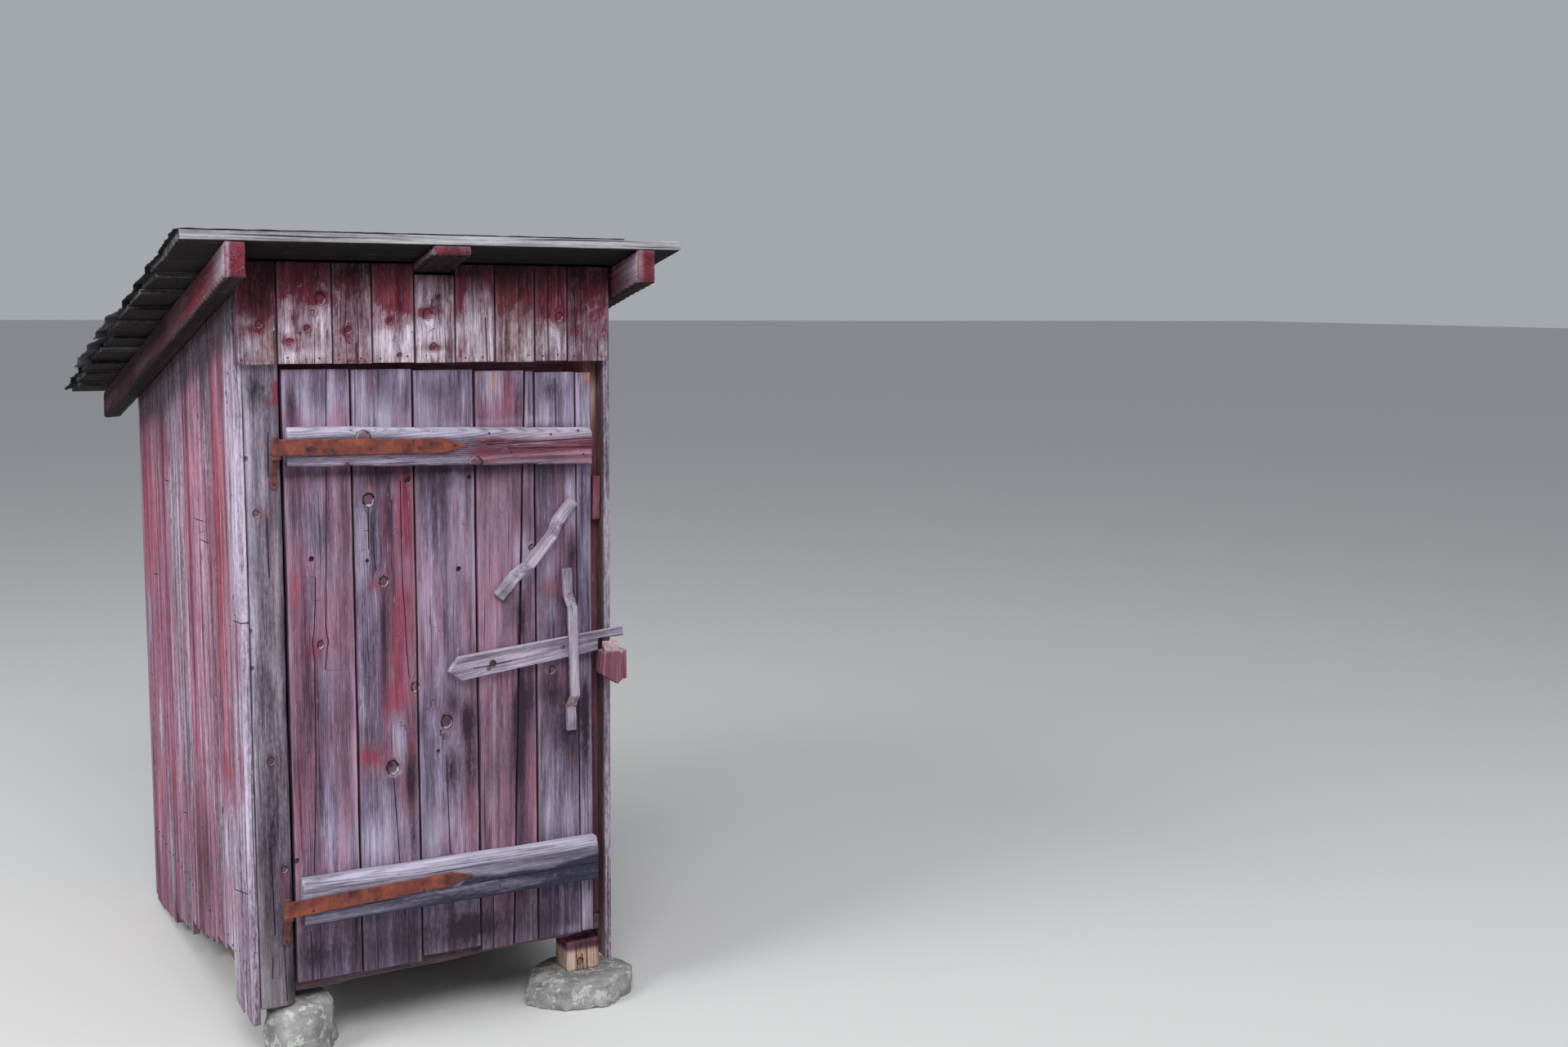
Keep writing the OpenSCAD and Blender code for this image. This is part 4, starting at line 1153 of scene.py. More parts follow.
gableRow = {
    "look": {
        "light": tint(224, 214, 230), "mid": tint(162, 138, 150), "dark": tint(84, 58, 68),
        "stain": tint(152, 96, 114), "stainDark": tint(84, 40, 56), "paint": tint(132, 42, 60),
        "paintDark": tint(76, 22, 38), "stainShare": 0.55, "coatShare": 0.9, "seam": tint(62, 20, 32),
        "seamShare": 0.7, "dampShare": 0, "tones": 0.1, "blotch": 0.25, "blue": tint(120, 104, 112),
        "patchSize": (46, 46, 26), "streaks": 0.7, "fibres": 0.5, "mottles": 1.2, "coatEdge": 0.1,
        "clouds": 0.9, "patchShare": 1.9, "stainFrom": 0.0, "stainTo": 0.24, "top": tint(222, 214, 232),
        # the dark red on the next line is the colour of the painted shade under the roof and of the dimmer
        # boards
        "flecks": 1.6, "grime": tint(34, 14, 20), "knotDark": tint(84, 26, 38),
        "knotLight": tint(140, 60, 74)},
    "thick": 20,
    "edges": [3, 104, 240, 341, 451, 558, 666, 776, 868, 989],
    "bottom": 1653,
    "faces": [0, 0.8, 0.3, 1.2, 0.2, 0.9, 0.1, 1.4, 0.4],
    "cups": [0.5, -0.6, 0.6, 0.8, -0.7, 0.7, 0.5, -0.4, 0.9],
    "underRafter": (455, 545),  # boards here end lower, by the cut
    "rafterCut": 27,
    # height above which paint is left, board by board, and how much of it
    "line": [1745, 1805, 1600, 1757, 1850, 1795, 1750, 1745, 1600],
    "most": [1.2, 1.2, 0.3, 1.1, 0.8, 1.2, 1.1, 1.2, 0.42],
    "dim": [0.32, 0, 0.28, 0, 0, 0.12, 0.32, 0.16, 0.34],
    "marks": {
        "paintPatches": [
            (75, 1815, 30, 44, 0.5), (60, 1750, 20, 14, 0.6), (76, 1776, 10, 24, 0.5),
            (30, 1740, 12, 10, 0.4), (205, 1815, 36, 14, 0.82), (165, 1850, 16, 24, 0.54),
            (178, 1741, 18, 10, 0.61), (146, 1770, 9, 18, 0.7), (132, 1711, 24, 8, 0.68),
            (150, 1692, 18, 7, 0.68), (118, 1822, 12, 7, 0.54), (160, 1800, 8, 16, 0.5),
            (304, 1660, 34, 8, 0.54), (278, 1740, 12, 12, 0.4), (490, 1786, 34, 10, 0.82),
            (512, 1821, 9, 6, 0.61), (468, 1776, 14, 10, 0.7), (507, 1692, 24, 9, 0.68),
            (527, 1869, 24, 14, 0.7), (568, 1790, 9, 44, 0.61), (572, 1690, 6, 40, 0.6),
            (585, 1863, 20, 24, 0.6), (406, 1674, 12, 8, 0.61), (385, 1760, 8, 10, 0.61),
            (417, 1806, 28, 26, 0.6), (372, 1815, 6, 20, 0.6), (679, 1760, 6, 90, 0.6),
            (830, 1775, 34, 12, 0.54), (845, 1740, 16, 8, 0.6), (820, 1837, 40, 30, 0.5),
            (877, 1735, 4, 26, 0.7), (905, 1690, 30, 30, -0.3), (975, 1690, 18, 30, -0.6),
            (700, 1720, 60, 80, -0.3), (650, 1740, 20, 90, -0.4), (480, 1731, 40, 22, -0.6),
            (814, 1710, 26, 34, -0.7), (365, 1695, 30, 26, -0.5), (420, 1695, 26, 26, -0.4),
            (930, 1840, 56, 60, 0.35), (290, 1850, 56, 46, 0.35), (212, 1750, 20, 36, -0.35),
            (200, 1680, 30, 14, -0.4), (90, 1700, 14, 40, -0.5)],
        "palePatches": [
            (130, 1672, 24, 14, 0.8), (385, 1702, 40, 32, 0.8), (500, 1732, 44, 26, 1.0),
            (490, 1674, 34, 10, 0.8), (607, 1760, 13, 90, 0.9), (630, 1690, 12, 40, 0.5),
            (640, 1830, 10, 30, 0.4), (825, 1712, 24, 34, 0.8), (500, 1850, 34, 30, 0.45),
            (30, 1700, 14, 20, 0.8), (36, 1758, 16, 10, 0.5), (218, 1760, 16, 30, 0.6),
            (196, 1680, 30, 14, 0.6), (128, 1738, 18, 10, 0.5), (136, 1790, 16, 14, 0.4),
            (882, 1680, 3, 26, 1.0), (762, 1700, 8, 60, 0.6), (440, 1720, 6, 30, 0.5)],
        "freshPatches": [(84, 1700, 16, 50, 0.4), (712, 1730, 36, 80, 0.3), (790, 1720, 8, 50, 0.3)],
        # the patches from about 1850 up add painted shade under the roof
        "grimePatches": [
            (20, 1720, 12, 40, 0.4), (930, 1700, 30, 40, 0.25), (832, 1700, 6, 26, 0.6),
            (50, 1805, 44, 34, 0.5), (50, 1850, 50, 40, 0.45), (402, 1712, 3, 30, 0.8),
            (487, 1845, 3, 22, 0.8), (500, 1694, 26, 7, 0.5), (620, 1712, 3, 20, 0.7),
            (757, 1785, 3, 26, 0.8), (697, 1740, 3, 80, 0.6), (560, 1885, 60, 12, 0.5),
            (975, 1690, 16, 30, 0.4)],
        "knots": [
            (280, 1738, 8), (386, 1760, 6), (486, 1776, 12), (514, 1820, 5), (212, 1814, 12),
            (178, 1742, 7), (134, 1706, 9), (60, 1752, 8), (410, 1674, 6), (845, 1772, 10), (500, 1694, 9),
            (160, 1852, 7)],
        "splits": [((300, 1700), (302, 1656)), ((888, 1840), (892, 1700)), ((640, 1760), (644, 1660))],
    },
}


def makeGable():
    row = gableRow
    low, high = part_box("gable_boards")
    top = high.z * 1000 - hutCorner[2] * 1000 - 22 * slope - 1
    face = (low.y - hutCorner[1]) * 1000
    first, last = row["underRafter"]
    boards = []
    for left, right, inset, cup in zip(row["edges"], row["edges"][1:], row["faces"], row["cups"]):
        lower = row["rafterCut"] if right > first and left < last else 0
        sides = (left + 1.0, right - 1.0)
        boards.append({"foot": sides, "bottom": row["bottom"] + inset * 1.5, "top": top - lower,
                       "thick": row["thick"], "face": face + inset, "cup": cup})
    finish = timberFinish("gablePaint", row["look"])
    piece = makeBoards("gableBoards", boards, Matrix.Translation(hut(0, 0, 0)), finish, seed=11.4, Across=16,
                       Along=40)

    def paintLeft(points, normals):
        lines, most = (byBoard(points, row["edges"], row[name]) for name in ("line", "most"))
        return np.clip(0.3 + (points[:, 2] - lines) * 0.009, -0.1, most)

    # by board, how much dimmer it is, then painted shade under the roof from about 1822 up
    def shade(points, normals):
        return byBoard(points, row["edges"], row["dim"]) + ease(points[:, 2], 1822, 94, 0.8)

    dress(piece, {**row["marks"], "paint": paintLeft, "grime": shade}, outward=(0, -1, 0))
    finishPiece(piece, "hut", "gable_paint", "gable_boards")


makeGable()


def belowRoof(points):
    return eaves - 0.2327 * points[:, 1] - points[:, 2]


sideWall = {
    "look": {
        "light": tint(206, 196, 212), "mid": tint(156, 136, 156), "dark": tint(84, 62, 78),
        "blue": tint(134, 124, 148), "stain": tint(182, 108, 130), "stainDark": tint(108, 52, 72),
        "paint": tint(178, 70, 88), "paintDark": tint(110, 38, 54), "stainShare": 0.8,
        "seam": tint(76, 30, 44), "seamShare": 0.5, "dampLow": 0.0, "dampHigh": 0.35, "blotch": 0.4,
        "patchSize": (60, 50, 2.4), "patchShare": 1.3, "stainFrom": 0.02, "stainTo": 0.2, "stainBreak": 0.9,
        "streaks": 0.9, "smudges": 1.8, "fibres": 1.2, "flecks": 1.3, "mottles": 2.0, "coatEdge": 0.09,
        # the edge colour lightens worn edges and is partly a painted highlight
        "bump": 1.2, "clouds": 1.2, "edge": tint(196, 186, 202), "edgeShare": 0.35, "lift": -0.05,
        "top": tint(196, 188, 208), "coatShare": 0.7, "speckShare": 0.3},
    "thick": 20,
    # where the boards meet, from the front, and their feet
    "edges": [0, 112, 208, 300, 425, 500, 590, 690, 790, 868, 960, 1056, 1150, 1262, 1378],
    "leftKnots": [(452, 1498, 7), (256, 735, 6), (320, 826, 6), (290, 1128, 7), (270, 1360, 7)],
    "backEdges": [0, 96, 205, 300, 398, 505, 600, 702, 806, 900, 1000],
    "feet": [-34, -38, 84, 66, 44, 16, 4, -10, -50, -58, -66, -106, -116, -126],
    "shares": [-0.3, 0.36, 0.42, 0.12, 0.06, 0.14, 0.26, 0.06, 0.04, 0.14, 0.4, 0.28, 0.34, 0.36],
    "marks": {
        "paintPatches": [
            (215, 1180, 90, 260, 0.55), (215, 590, 60, 26, 0.8), (200, 380, 110, 110, -0.8),
            (190, 60, 90, 120, -0.7), (215, 1620, 30, 100, -0.3), (280, 1560, 24, 160, 0.3),
            (55, 900, 26, 110, 0.7), (50, 620, 30, 110, 0.5), (470, 1540, 30, 24, 0.5),
            (470, 1430, 24, 30, 0.5), (480, 1350, 20, 30, 0.5), (475, 1280, 24, 20, 0.5),
            (626, 1350, 16, 260, 0.9), (626, 800, 12, 300, 0.7), (640, 560, 20, 60, 0.4),
            (520, 545, 40, 16, 0.5), (525, 940, 20, 24, 0.5), (540, 250, 130, 180, 0.35),
            (340, 1620, 24, 90, -0.3), (360, 1450, 40, 120, -0.2), (840, 1150, 60, 260, -0.4),
            (790, 520, 60, 120, -0.3), (1000, 1370, 60, 110, 0.4), (1090, 1210, 14, 20, 0.5),
            (1090, 1100, 18, 14, 0.6), (870, 875, 14, 14, 0.5), (1080, 970, 20, 14, 0.4),
            (975, 860, 20, 24, 0.4), (1290, 1180, 90, 210, 0.55), (1330, 940, 40, 50, 0.4),
            (1075, 1330, 16, 110, -0.5), (1195, 490, 30, 90, -0.6), (1330, 800, 26, 120, -0.5),
            (1090, 120, 50, 180, -0.6), (850, 260, 50, 140, 0.35), (985, 340, 30, 120, 0.25),
            (1320, 420, 18, 160, -0.3)],
        "palePatches": [
            (45, 1450, 50, 330, 0.35), (8, 900, 10, 900, 0.3), (180, 330, 30, 190, 0.4),
            (262, 300, 34, 170, 0.3), (438, 1450, 5, 240, 0.7), (588, 1450, 6, 160, 0.5),
            (200, 845, 30, 5, 0.9), (457, 1160, 16, 8, 1.0), (465, 525, 20, 14, 0.8),
            (1195, 500, 22, 80, 0.5), (1080, 130, 30, 160, 0.5), (160, 1000, 30, 420, 0.4),
            (1320, 780, 44, 200, 0.4), (165, 90, 44, 130, 0.45), (250, 80, 44, 110, 0.6),
            (1334, 790, 14, 70, 0.4), (1290, 110, 14, 60, 0.6), (928, 1470, 8, 40, 0.4),
            (1315, 400, 12, 160, 0.4)],
        # the patches high up, such as at 372 across and 1620 high and at 960 across and 1440 high, add
        # painted shade under the roof
        "grimePatches": [
            (372, 1620, 24, 110, 0.7), (286, 1600, 14, 120, 0.35), (626, 1500, 14, 160, 0.5),
            (626, 1000, 9, 260, 0.35), (288, 745, 14, 22, 0.5), (256, 735, 7, 7, 0.9),
            (320, 826, 14, 6, 0.7), (452, 1498, 8, 10, 0.9), (120, 1000, 6, 300, 0.25),
            (150, 250, 5, 220, 0.5), (540, 180, 110, 160, 0.25), (1180, 440, 30, 24, 0.4),
            (70, 975, 14, 10, 0.6), (1052, -60, 10, 30, 0.9), (1130, 0, 300, 90, 0.15),
            (880, 1150, 80, 300, 0.25), (820, 780, 60, 150, 0.2), (462, 1250, 34, 260, 0.2),
            (462, 700, 34, 300, 0.2), (560, 240, 110, 170, 0.6), (900, 120, 100, 160, 0.42),
            (915, 330, 40, 100, 0.2), (50, 780, 44, 200, 0.14), (370, 420, 40, 200, 0.2),
            (1100, 260, 110, 120, 0.2), (960, 1440, 100, 140, 0.42), (545, 1470, 44, 90, 0.3)],
        # painted shade below the roof: strong within about 230 mm of it, fading out about 410 mm below
        "grime": lambda p, n: (1.2 * np.clip(1 - (belowRoof(p) - 100) / 130, 0, 1)
                               + 0.42 * np.clip(1 - (belowRoof(p) - 150) / 260, 0, 1)),
        "pale": lambda p, n: 0.35 * (n[:, 1] < -0.5) * (p[:, 1] < 3),
        "clear": lambda p, n: p[:, 1] < 4,
        "splits": [
            ((-5, 1012), (85, 1005)), ((20, 308), (165, 276)), ((435, 1218), (550, 1212)),
            ((300, 470), (312, 350), (328, 240), (360, 150), (398, 90)), ((360, 1167), (470, 1164)),
            ((915, 1280), (970, 1278)), ((806, 310), (872, 297)), ((1148, 972), (1215, 964))],
    },
}


def makeSideWall(name, node, flip):
    row = sideWall
    origin, angle = (hut(hutWidth, 0, 0), math.pi / 2) if flip else (hut(0, 0, 0), -math.pi / 2)
    rng = random.Random(5 if flip else 4)
    boards = []
    for number, (near, far) in enumerate(zip(row["edges"], row["edges"][1:])):
        heads = [1905.5 - y * slope for y in (near, far)]
        foot = -34 - 90 * near / 1378 + rng.uniform(-8, 8) if flip else row["feet"][number]
        sides = (near + 1.0, far - 1.0) if flip else (1.0 - far, -near - 1.0)
        first, last = heads if flip else heads[::-1]
        boards.append({"foot": sides, "bottom": foot, "top": first, "headRise": last - first,
                       "thick": row["thick"], "face": rng.uniform(0, 1.8), "footRise": rng.uniform(-6, 6),
                       "cup": rng.uniform(-0.9, 0.9)})
    finish = timberFinish(name + "Paint", row["look"])
    turn = Matrix.Translation(origin) @ Matrix.Rotation(angle, 4, "Z")
    piece = makeBoards(name, boards, turn, finish, seed=21.7 if flip else 31.9, Across=11, Along=90)
    spots = [(rng.uniform(20, 1360), rng.uniform(0, 1700), rng.uniform(4, 8)) for _ in range(46)]
    knots = spots + ([] if flip else row["leftKnots"])
    marks = {**row["marks"], "paint": lambda p, n: byBoard(p, row["edges"], row["shares"], 1), "knots": knots}
    if flip:
        marks.update({"splits": (), "pale": 0, "grime": lambda p, n: 0.45 * (p[:, 1] < 6)})
    dress(piece, marks, (1, 2), (1, 0, 0) if flip else (-1, 0, 0))
    finishPiece(piece, "hut", "wall_paint", node)


makeSideWall("leftWall", "left_wall", False)
makeSideWall("rightWall", "right_wall", True)


def makeBackWall():
    row = sideWall
    rng = random.Random(9)
    edges = row["backEdges"]
    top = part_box("back_wall")[1].z * 1000 - hutCorner[2] * 1000
    boards = []
    for left, right in zip(edges, edges[1:]):
        lower = 26 if left < 550 and right > 450 else 0
        sides = (left + 1.0, right - 1.0)
        boards.append({"foot": sides, "thick": row["thick"], "bottom": -122 + rng.uniform(0, 14),
                       "top": top - 6 - lower, "footRise": rng.uniform(-5, 5), "face": rng.uniform(0, 1.6),
                       "cup": rng.uniform(-0.9, 0.9)})
    turn = Matrix.Translation(hut(hutWidth, hutDepth, 0)) @ Matrix.Rotation(math.pi, 4, "Z")
    finish = timberFinish("backPaint", row["look"])
    piece = makeBoards("backWall", boards, turn, finish, seed=44.2, Across=11, Along=80)
    knots = [(rng.uniform(20, 980), rng.uniform(0, 1500), rng.uniform(5, 9)) for _ in range(32)]
    marks = {"paint": lambda p, n: 0.2 + 0.16 * np.sin(p[:, 0] / 37), "knots": knots,
             "paintPatches": [(300, 300, 240, 300, -0.25), (760, 900, 160, 300, 0.2)],
             "grimePatches": [(500, -60, 600, 120, 0.3)]}
    dress(piece, marks, outward=(0, 1, 0))
    finishPiece(piece, "hut", "wall_paint", "back_wall")


makeBackWall()

roofRow = {
    "look": {
        "light": tint(200, 200, 206), "mid": tint(134, 132, 138), "dark": tint(50, 46, 50), "dampShare": 0,
        "stain": tint(120, 96, 96), "stainDark": tint(66, 48, 50), "stainShare": 0.2, "coatShare": 0,
        # the near-black dirt colour and the dark inner colour are painted shade on the undersides
        "grime": tint(10, 6, 6), "inner": tint(44, 26, 22), "crackShare": 0.9, "edgeShare": 0.1,
        # the edge colour is partly a painted highlight
        "seamShare": 0.2, "top": tint(206, 208, 214), "edge": tint(186, 184, 190), "fibres": 0.9},
    "count": 11,
    "length": 2063,  # down the slope
    "width": 1274.5,
    "thick": 15,
    "lap": 20,
    "lean": 16,
    "leftVerge": -151,
    "overhang": 182,  # in front of the door face
}


def roofTurn():
    # board length along X, its width up the slope, its upper side outwards
    upSlope = Vector((0, -math.cos(pitch), math.sin(pitch)))
    inward = Vector((0, -math.sin(pitch), -math.cos(pitch)))
    turn = Matrix((upSlope, inward, Vector((1, 0, 0)))).transposed().to_4x4()
    front = roofRow["overhang"]
    return Matrix.Translation(hut(roofRow["leftVerge"], -front, eaves + front * slope)) @ turn


def makeRoofBoards():
    row = roofRow
    rng = random.Random(12)
    run = row["length"] / row["count"]
    boards = []
    for number in range(row["count"]):
        high = -number * run
        low = high - run - (0 if number == row["count"] - 1 else row["lap"])
        first = number == 0
        boards.append({"foot": (low, high), "bottom": 0 if first else rng.uniform(0, 16),
                       "top": row["width"] - (0 if first else rng.uniform(0, 12)),
                       "cup": rng.uniform(-0.8, 0.8), "thick": 24 if first else row["thick"],
                       "face": -24.6 if first else -row["thick"] - 0.4, "lean": 0 if first else row["lean"],
                       "footRise": rng.uniform(-5, 5), "headRise": rng.uniform(-4, 4)})
    finish = timberFinish("roofTimber", row["look"])
    piece = makeBoards("roofBoards", boards, roofTurn(), finish, seed=52.5, Across=14, Along=76, Ragged=0.006,
                       Wave=0.003)
    knots = [(rng.uniform(0, 1900), rng.uniform(-100, 1100), rng.uniform(5, 9)) for _ in range(30)]

    def front(points, normals):
        return (normals[:, 1] < -0.6) * (points[:, 1] < -172)

    # every face that does not face up, all but the front edge, gets near-black painted shade
    marks = {"grime": lambda p, n: np.where(front(p, n), 0, 0.85 * (n[:, 2] < 0.4)), "knots": knots,
             "pale": lambda p, n: 0.55 * front(p, n)}
    dress(piece, marks, (1, 0), (0, -math.sin(pitch), 1))
    finishPiece(piece, "hut", "roof_timber", "roof_boards")


makeRoofBoards()

floorRow = {
    "look": {
        "light": tint(164, 146, 130), "mid": tint(118, 102, 90), "dark": tint(58, 48, 44), "stainShare": 0,
        "coatShare": 0, "blotch": 0.2, "blue": tint(96, 92, 92), "dampShare": 0, "edgeShare": 0.15},
    "edges": [130.6, 250, 368, 500, 622, 745, 880, 1010, 1140, 1300],
}


def makeFloorBoards():
    rng = random.Random(15)
    boards = []
    for near, far in zip(floorRow["edges"], floorRow["edges"][1:]):
        sides = (1.2 - far, -near - 1.2)
        boards.append({"foot": sides, "bottom": 24, "top": 976, "thick": 24.0,
                       "face": rng.uniform(0, 0.8), "cup": rng.uniform(-0.6, 0.6)})
    boards.append({"foot": (-129, -39.5), "bottom": 114, "top": 878, "thick": 24.0})
    # length along X, width towards the back, upper side outwards
    turn = Matrix((Vector((0, -1, 0)), Vector((0, 0, -1)), Vector((1, 0, 0)))).transposed().to_4x4()
    finish = timberFinish("floorTimber", floorRow["look"])
    origin = hut(0, 0, 0)
    origin.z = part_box("floor_boards")[1].z
    turn = Matrix.Translation(origin) @ turn
    piece = makeBoards("floorBoards", boards, turn, finish, seed=61.3, Across=9, Along=44)
    dress(piece, {"grimePatches": [(400, 500, 200, 160, 0.25)]}, (1, 0))
    finishPiece(piece, "hut", "inner_timber", "floor_boards")


makeFloorBoards()
print("boards ready")


# iron, stone and felt
def speckled(vector, scale, low, high):
    # small sharp spots out of one noise
    return step(noise(vector, scale, 4, 0.65), low, high)


def mottled(coarse, fine, contrast, middle, *colours):
    return ramp(clamped(coarse * contrast + middle + fine * 0.5), *colours)


def rustFinish(name, look):
    finish, tree, shader = newFinish(name, 0.78, 0.3)
    place = made(tree, "ShaderNodeTexCoord", None, "Object")
    coarse, fine = noise(place, look["coarse"], 4, 0.65), noise(place, look["fine"], 4, 0.7)
    middle = 0.25 - look["contrast"] / 2
    colour = mottled(coarse, fine, look["contrast"], middle, look["dark"], look["brown"], look["orange"])
    pits = speckled(place, look["fine"] * 0.7, 0.6, 0.66)
    cover(shader, mix(pits * 0.7, colour, look["dark"]), fine - pits * 0.6, 0.6, 0.0008)
    return finish


iron = {
    "strap": {"dark": tint(62, 36, 38), "brown": tint(112, 58, 50), "orange": tint(142, 76, 56),
              "coarse": 26.0, "fine": 240.0, "contrast": 2.6},
    "pintle": {"dark": tint(52, 34, 38), "brown": tint(94, 56, 56), "orange": tint(126, 72, 62),
               "coarse": 40.0, "fine": 260.0, "contrast": 2.0},
    "nail": {"dark": tint(30, 22, 24), "brown": tint(64, 44, 44), "orange": tint(110, 70, 54),
             "coarse": 60.0, "fine": 400.0, "contrast": 1.6},
}
strapRust = rustFinish("strapRust", iron["strap"])
nailRust = rustFinish("nailRust", iron["nail"])
for name, node, body, voxel, rust in (("hingeStraps", "hinge_straps", "door", 0.002, strapRust),
                                      ("hingePintles", "hinge_pintles", "hut", 0.0014,
                                       rustFinish("pintleRust", iron["pintle"])),
                                      ("latchPin", "latch_pin", "door", 0.001, nailRust)):
    values = {"Size": 60.0, "Height": 0.0012, "Fine Size": 300.0, "Fine Height": 0.0007, "Finish": rust}
    finishPiece(reshaped(name, node, "skin", voxel, values), body, "iron", node)


def makeNails(name, body, heads, seed):
    # each head: place in hut millimetres, the way it faces, radius
    columns = {"facing": [h[1] for h in heads], "size": [h[2] / 1000 for h in heads]}
    thing = pointRow(name, columns)
    for vertex, head in zip(thing.data.vertices, heads):
        vertex.co = hut(*head[0])
    addTree(thing, "nailHeads", {"Seed": seed, "Finish": nailRust})
    finishPiece(settled(thing, name), body, "iron")


def nailPlaces():
    rng = random.Random(31)
    front, left, right, back = (0, -1, 0), (-1, 0, 0), (1, 0, 0), (0, 1, 0)
    hutHeads, doorHeads = [], []

    def loose(size):
        return rng.uniform(-size, size)

    edges = gableRow["edges"]
    for near, far in zip(edges, edges[1:]):
        for share in (0.22, 0.75):
            x = near + (far - near) * share + loose(8)
            hutHeads.append(((x, -21.6, 1668 + loose(4)), front, 2.8))
            hutHeads.append(((x + loose(6), -21.6, 1846 + loose(8)), front, 2.8))
    edges = sideWall["edges"]
    for near, far in zip(edges, edges[1:]):
        for share in (0.25, 0.74):
            y = near + (far - near) * share + loose(6)
            for z in (1770 - y * slope, 112):
                for x, facing in ((0.4, left), (999.6, right)):
                    hutHeads.append(((x, y + loose(4), z + loose(12)), facing, 3.0))
    for x in range(40, 1000, 52):
        for z in (1466, 60):
            hutHeads.append(((x + loose(8), 1399.6, z + loose(10)), back, 3.0))
    for z in (300, 620, 1010, 1330, 1600):
        hutHeads.append(((0.4, 60 + loose(20), z + loose(30)), left, 3.2))
    for z in (1356, 175):
        hutHeads.append(((90, -6.5, z), front, 4.2))
    for x, z in ((165, 1446), (323, 1440), (451, 1437), (545, 1440), (312, 262), (442, 268), (555, 282),
                 (150, 260)):
        doorHeads.append(((x, -45.0, z), front, 4.0))
    for x, z in ((653, 245), (786, 290), (830, 258), (724, 300), (898, 288), (640, 1470), (700, 1418),
                 (812, 1462), (905, 1405), (890, 1470)):
        doorHeads.append(((x, -38.4, z), front, 3.2))
    return hutHeads, doorHeads


hutHeads, doorHeads = nailPlaces()
makeNails("hutNails", "hut", hutHeads, 3)
makeNails("doorNails", "door", doorHeads, 4)

stones = {
    "light": tint(186, 184, 182), "mid": tint(142, 140, 140), "dark": tint(92, 90, 92),
    "lichen": tint(204, 208, 200), "moss": tint(112, 114, 92),
    # each stone: place of its middle, reach, height of its top
    "tops": [(134, 56, 98, 0), (922, 52, 152, -70), (114, 1286, 84, -80), (886, 1286, 84, -80)],
}


def stoneFinish():
    finish, tree, shader = newFinish("stoneFinish", 0.9, 0.2)
    place = made(tree, "ShaderNodeTexCoord", None, "Object")
    coarse, fine = noise(place, 14.0, 5, 0.65), noise(place, 220.0, 3, 0.7)
    colour = mottled(coarse, fine, 1.8, -0.65, stones["dark"], stones["mid"], stones["light"])
    colour = mix(speckled(place, 36.0, 0.54, 0.6) * 0.6, colour, stones["lichen"])
    colour = mix(speckled(place + (3, 5, 7), 18.0, 0.52, 0.7) * 0.4, colour, stones["moss"])
    cover(shader, colour, fine + coarse, 0.8, 0.004)
    return finish


def makeStones():
    values = {"Size": 11.0, "Height": 0.034, "Fine Size": 46.0, "Fine Height": 0.008, "Seed": 4.0,
              "Finish": stoneFinish()}
    piece = reshaped("fieldStones", "foundation_stones", "skin", 0.008, values)
    for vertex in piece.data.vertices:
        spot = (vertex.co - Vector(hutCorner)) * 1000
        x, y, reach, top = min(stones["tops"], key=lambda s: (spot.x - s[0]) ** 2 + (spot.y - s[1]) ** 2)
        far = math.hypot(spot.x - x, spot.y - y) / reach
        # worn round at the rim, level where the timber stands
        roof = top - 26 * max(0.0, far - 0.72) ** 1.5 * 4
        seated = far < 0.6 and spot.z > top - 16
        height = roof if seated else min(spot.z, roof)
        vertex.co.z = max(0.0, height / 1000 + hutCorner[2])
    finishPiece(piece, "hut", "stone", "foundation_stones")


makeStones()

felt = {
    "grit": tint(74, 70, 80), "dustAndSkySheen": tint(132, 130, 146),
    "black": tint(20, 18, 22), "moss": tint(74, 78, 58),
    "thick": 0.0028,
    "flatWidth": 1.267,
    "rows": 150,
    "columns": 90,
}


def feltFinish():
    finish, tree, shader = newFinish("feltFinish", 0.92, 0.2)
    place = made(tree, "ShaderNodeTexCoord", None, "Object")
    # black where the felt faces down; where it faces up, and on the strip hanging over the left verge, its
    # own grey lightened by a painted sky sheen
    worn = made(tree, "ShaderNodeAttribute", None, "Fac", attribute_name="pale")
    coarse, grit = noise(place, 9.0, 5, 0.7), noise(place, 520.0, 2, 0.7)
    colour = mottled(coarse, grit, 1.8, -0.75, felt["black"], felt["grit"], felt["dustAndSkySheen"])
    colour = mix(speckled(place, 30.0, 0.58, 0.68) * 0.35, colour, felt["moss"])
    cover(shader, mix(worn, felt["black"], colour), grit, 0.5, 0.001)
    return finish


def wobble(*place):
    return turbulence.noise(Vector(place))


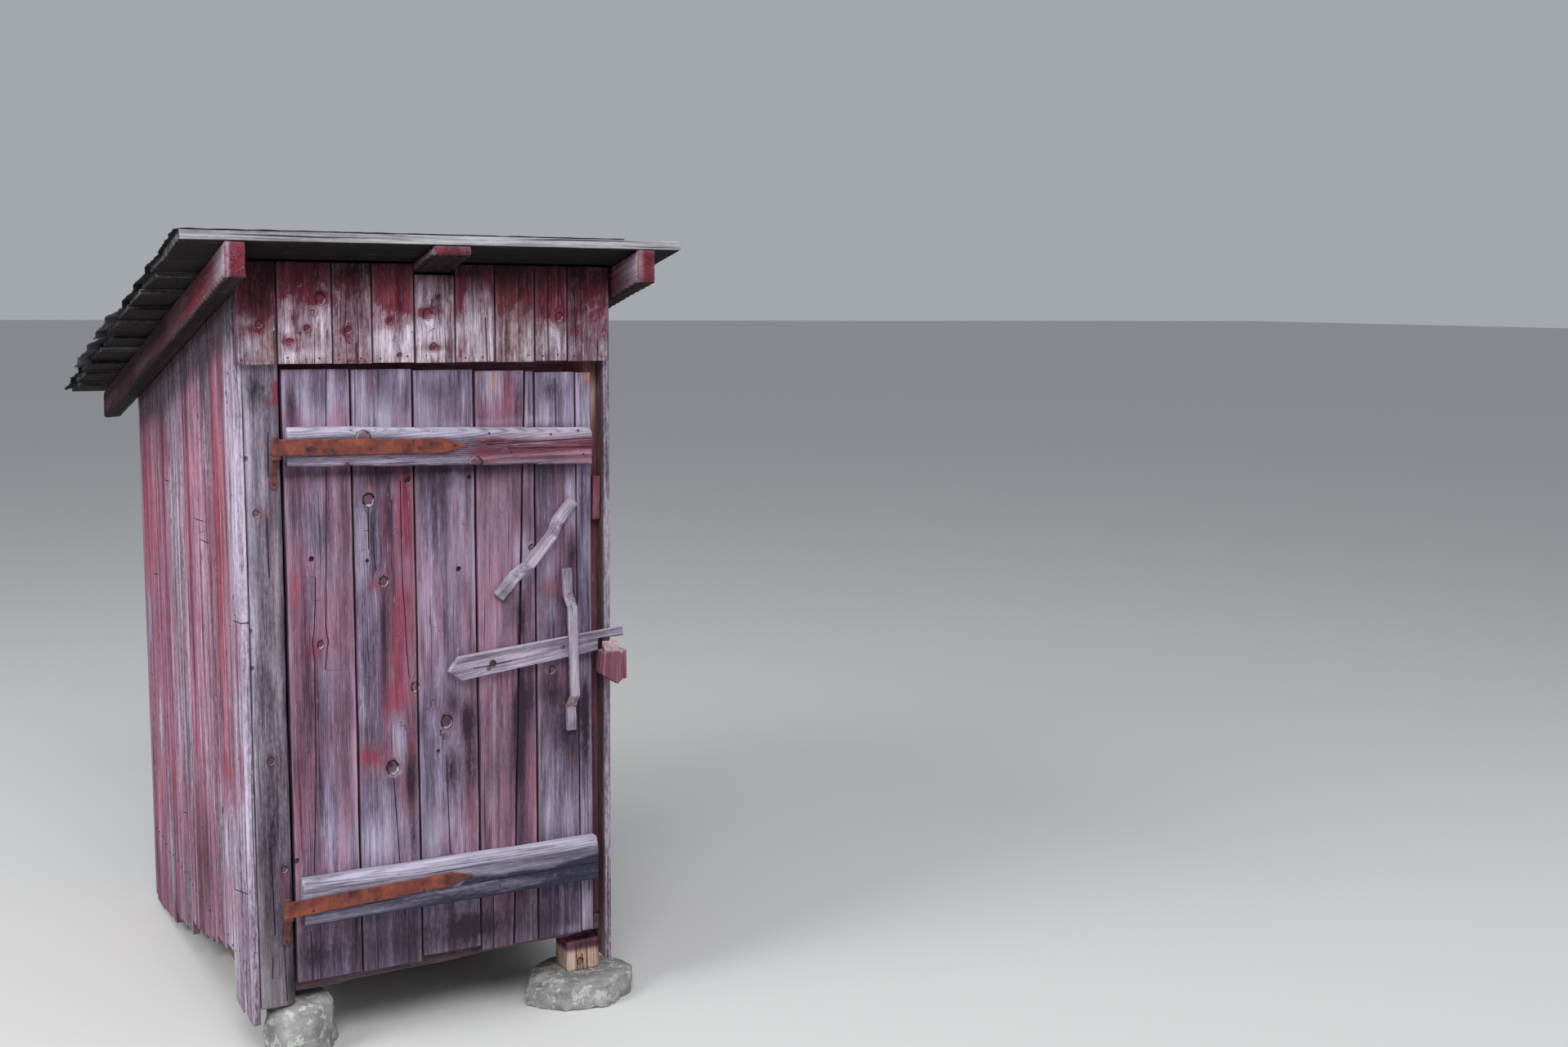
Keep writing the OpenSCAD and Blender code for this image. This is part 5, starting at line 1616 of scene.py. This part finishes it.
def makeFelt():
    # a sheet laid over the lapped boards, torn along its edges
    row = roofRow
    length, width, lap, run = row["length"], row["width"], row["lap"], row["length"] / row["count"]
    # rows of points down the slope, two of them close together at every lap
    laps = [number * run + lap for number in range(1, row["count"])]
    steps = [i * length / felt["rows"] for i in range(felt["rows"] + 1)]
    steps = [u for u in steps if all(not -4 < u - at < 11 for at in laps)]
    steps = sorted(steps + [at + 2.5 for at in laps] + [at + 6 for at in laps])
    points = []
    for place in steps:
        for j in range(felt["columns"] + 1):
            down, side = place / length, j / felt["columns"]
            u, v = place, side * width
            board = max(1, math.floor((u - lap - 4) / run))
            height = row["thick"] + row["lean"] * (u - board * run) / (run + lap) + 1.0
            height += 0.6 * abs(wobble(u / 160, v / 160, 3))
            if u <= run + lap + 4:
                height = 25.4 + 0.4 * abs(wobble(u / 60, v / 60, 1))
            edge = min(side, 1 - side)
            torn = 7 * wobble(u / 34, 7, 2) + 3 * wobble(u / 9, 3, 5)
            if edge == 0:
                v += (torn - 5) if side == 0 else (-torn - 6)
                height -= 2 + 6 * max(0, down - 0.4)
            if j < 3:
                # a loose strip hangs over the left verge
                loose = 1 if 0.44 < down < 0.58 or 0.62 < down < 0.8 else 0.15
                share = (1 - j / 3) * loose
                v -= share * (24 + torn + 8 * wobble(u / 50, 5, 1))
                height -= share * 7
            if down == 0:
                u += 5 + 5 * wobble(v / 45, 1, 9) + 2 * wobble(v / 11, 4, 9) + (30 if v > 1130 else 0)
                height += 0.6
            if down == 1:
                u -= 3 + 4 * wobble(v / 30, 2, 4)
                height -= 3
            points.append((-u, -height, v))
    wide = felt["columns"] + 1
    faces = [(i * wide + j, i * wide + j + 1, (i + 1) * wide + j + 1, (i + 1) * wide + j)
             for i in range(len(steps) - 1) for j in range(felt["columns"])]
    mesh = bpy.data.meshes.new("roofingFelt")
    mesh.from_pydata([Vector(p) / 1000 for p in points], [], faces)
    mesh.transform(roofTurn())
    mesh.materials.append(feltFinish())
    sheet = placed("feltSheet", mesh)
    solid = sheet.modifiers.new("thickness", "SOLIDIFY")
    solid.thickness = felt["thick"]
    solid.offset = 1.0
    piece = settled(sheet, "roofingFelt")
    _, normals = cornersOf(piece)
    if normals[len(normals) // 4, 2] < 0:
        piece.data.flip_normals()
    points, _ = cornersOf(piece)
    # the loose strip over the left verge is lightened as if lit from the sky: painted sky light
    skyLitFlap = 0.8 * (points[:, 0] < row["leftVerge"]) * (points[:, 1] > 600) * (points[:, 1] < 1450)
    addNumbers(piece.data, "pale", np.clip(np.maximum(normals[:, 2] * 2 - 0.9, skyLitFlap), 0, 1))
    piece.data.shade_smooth()
    finishPiece(piece, "hut", "felt", "roofing_felt")
    length / 1000


makeFelt()
print("iron, stone and felt ready")
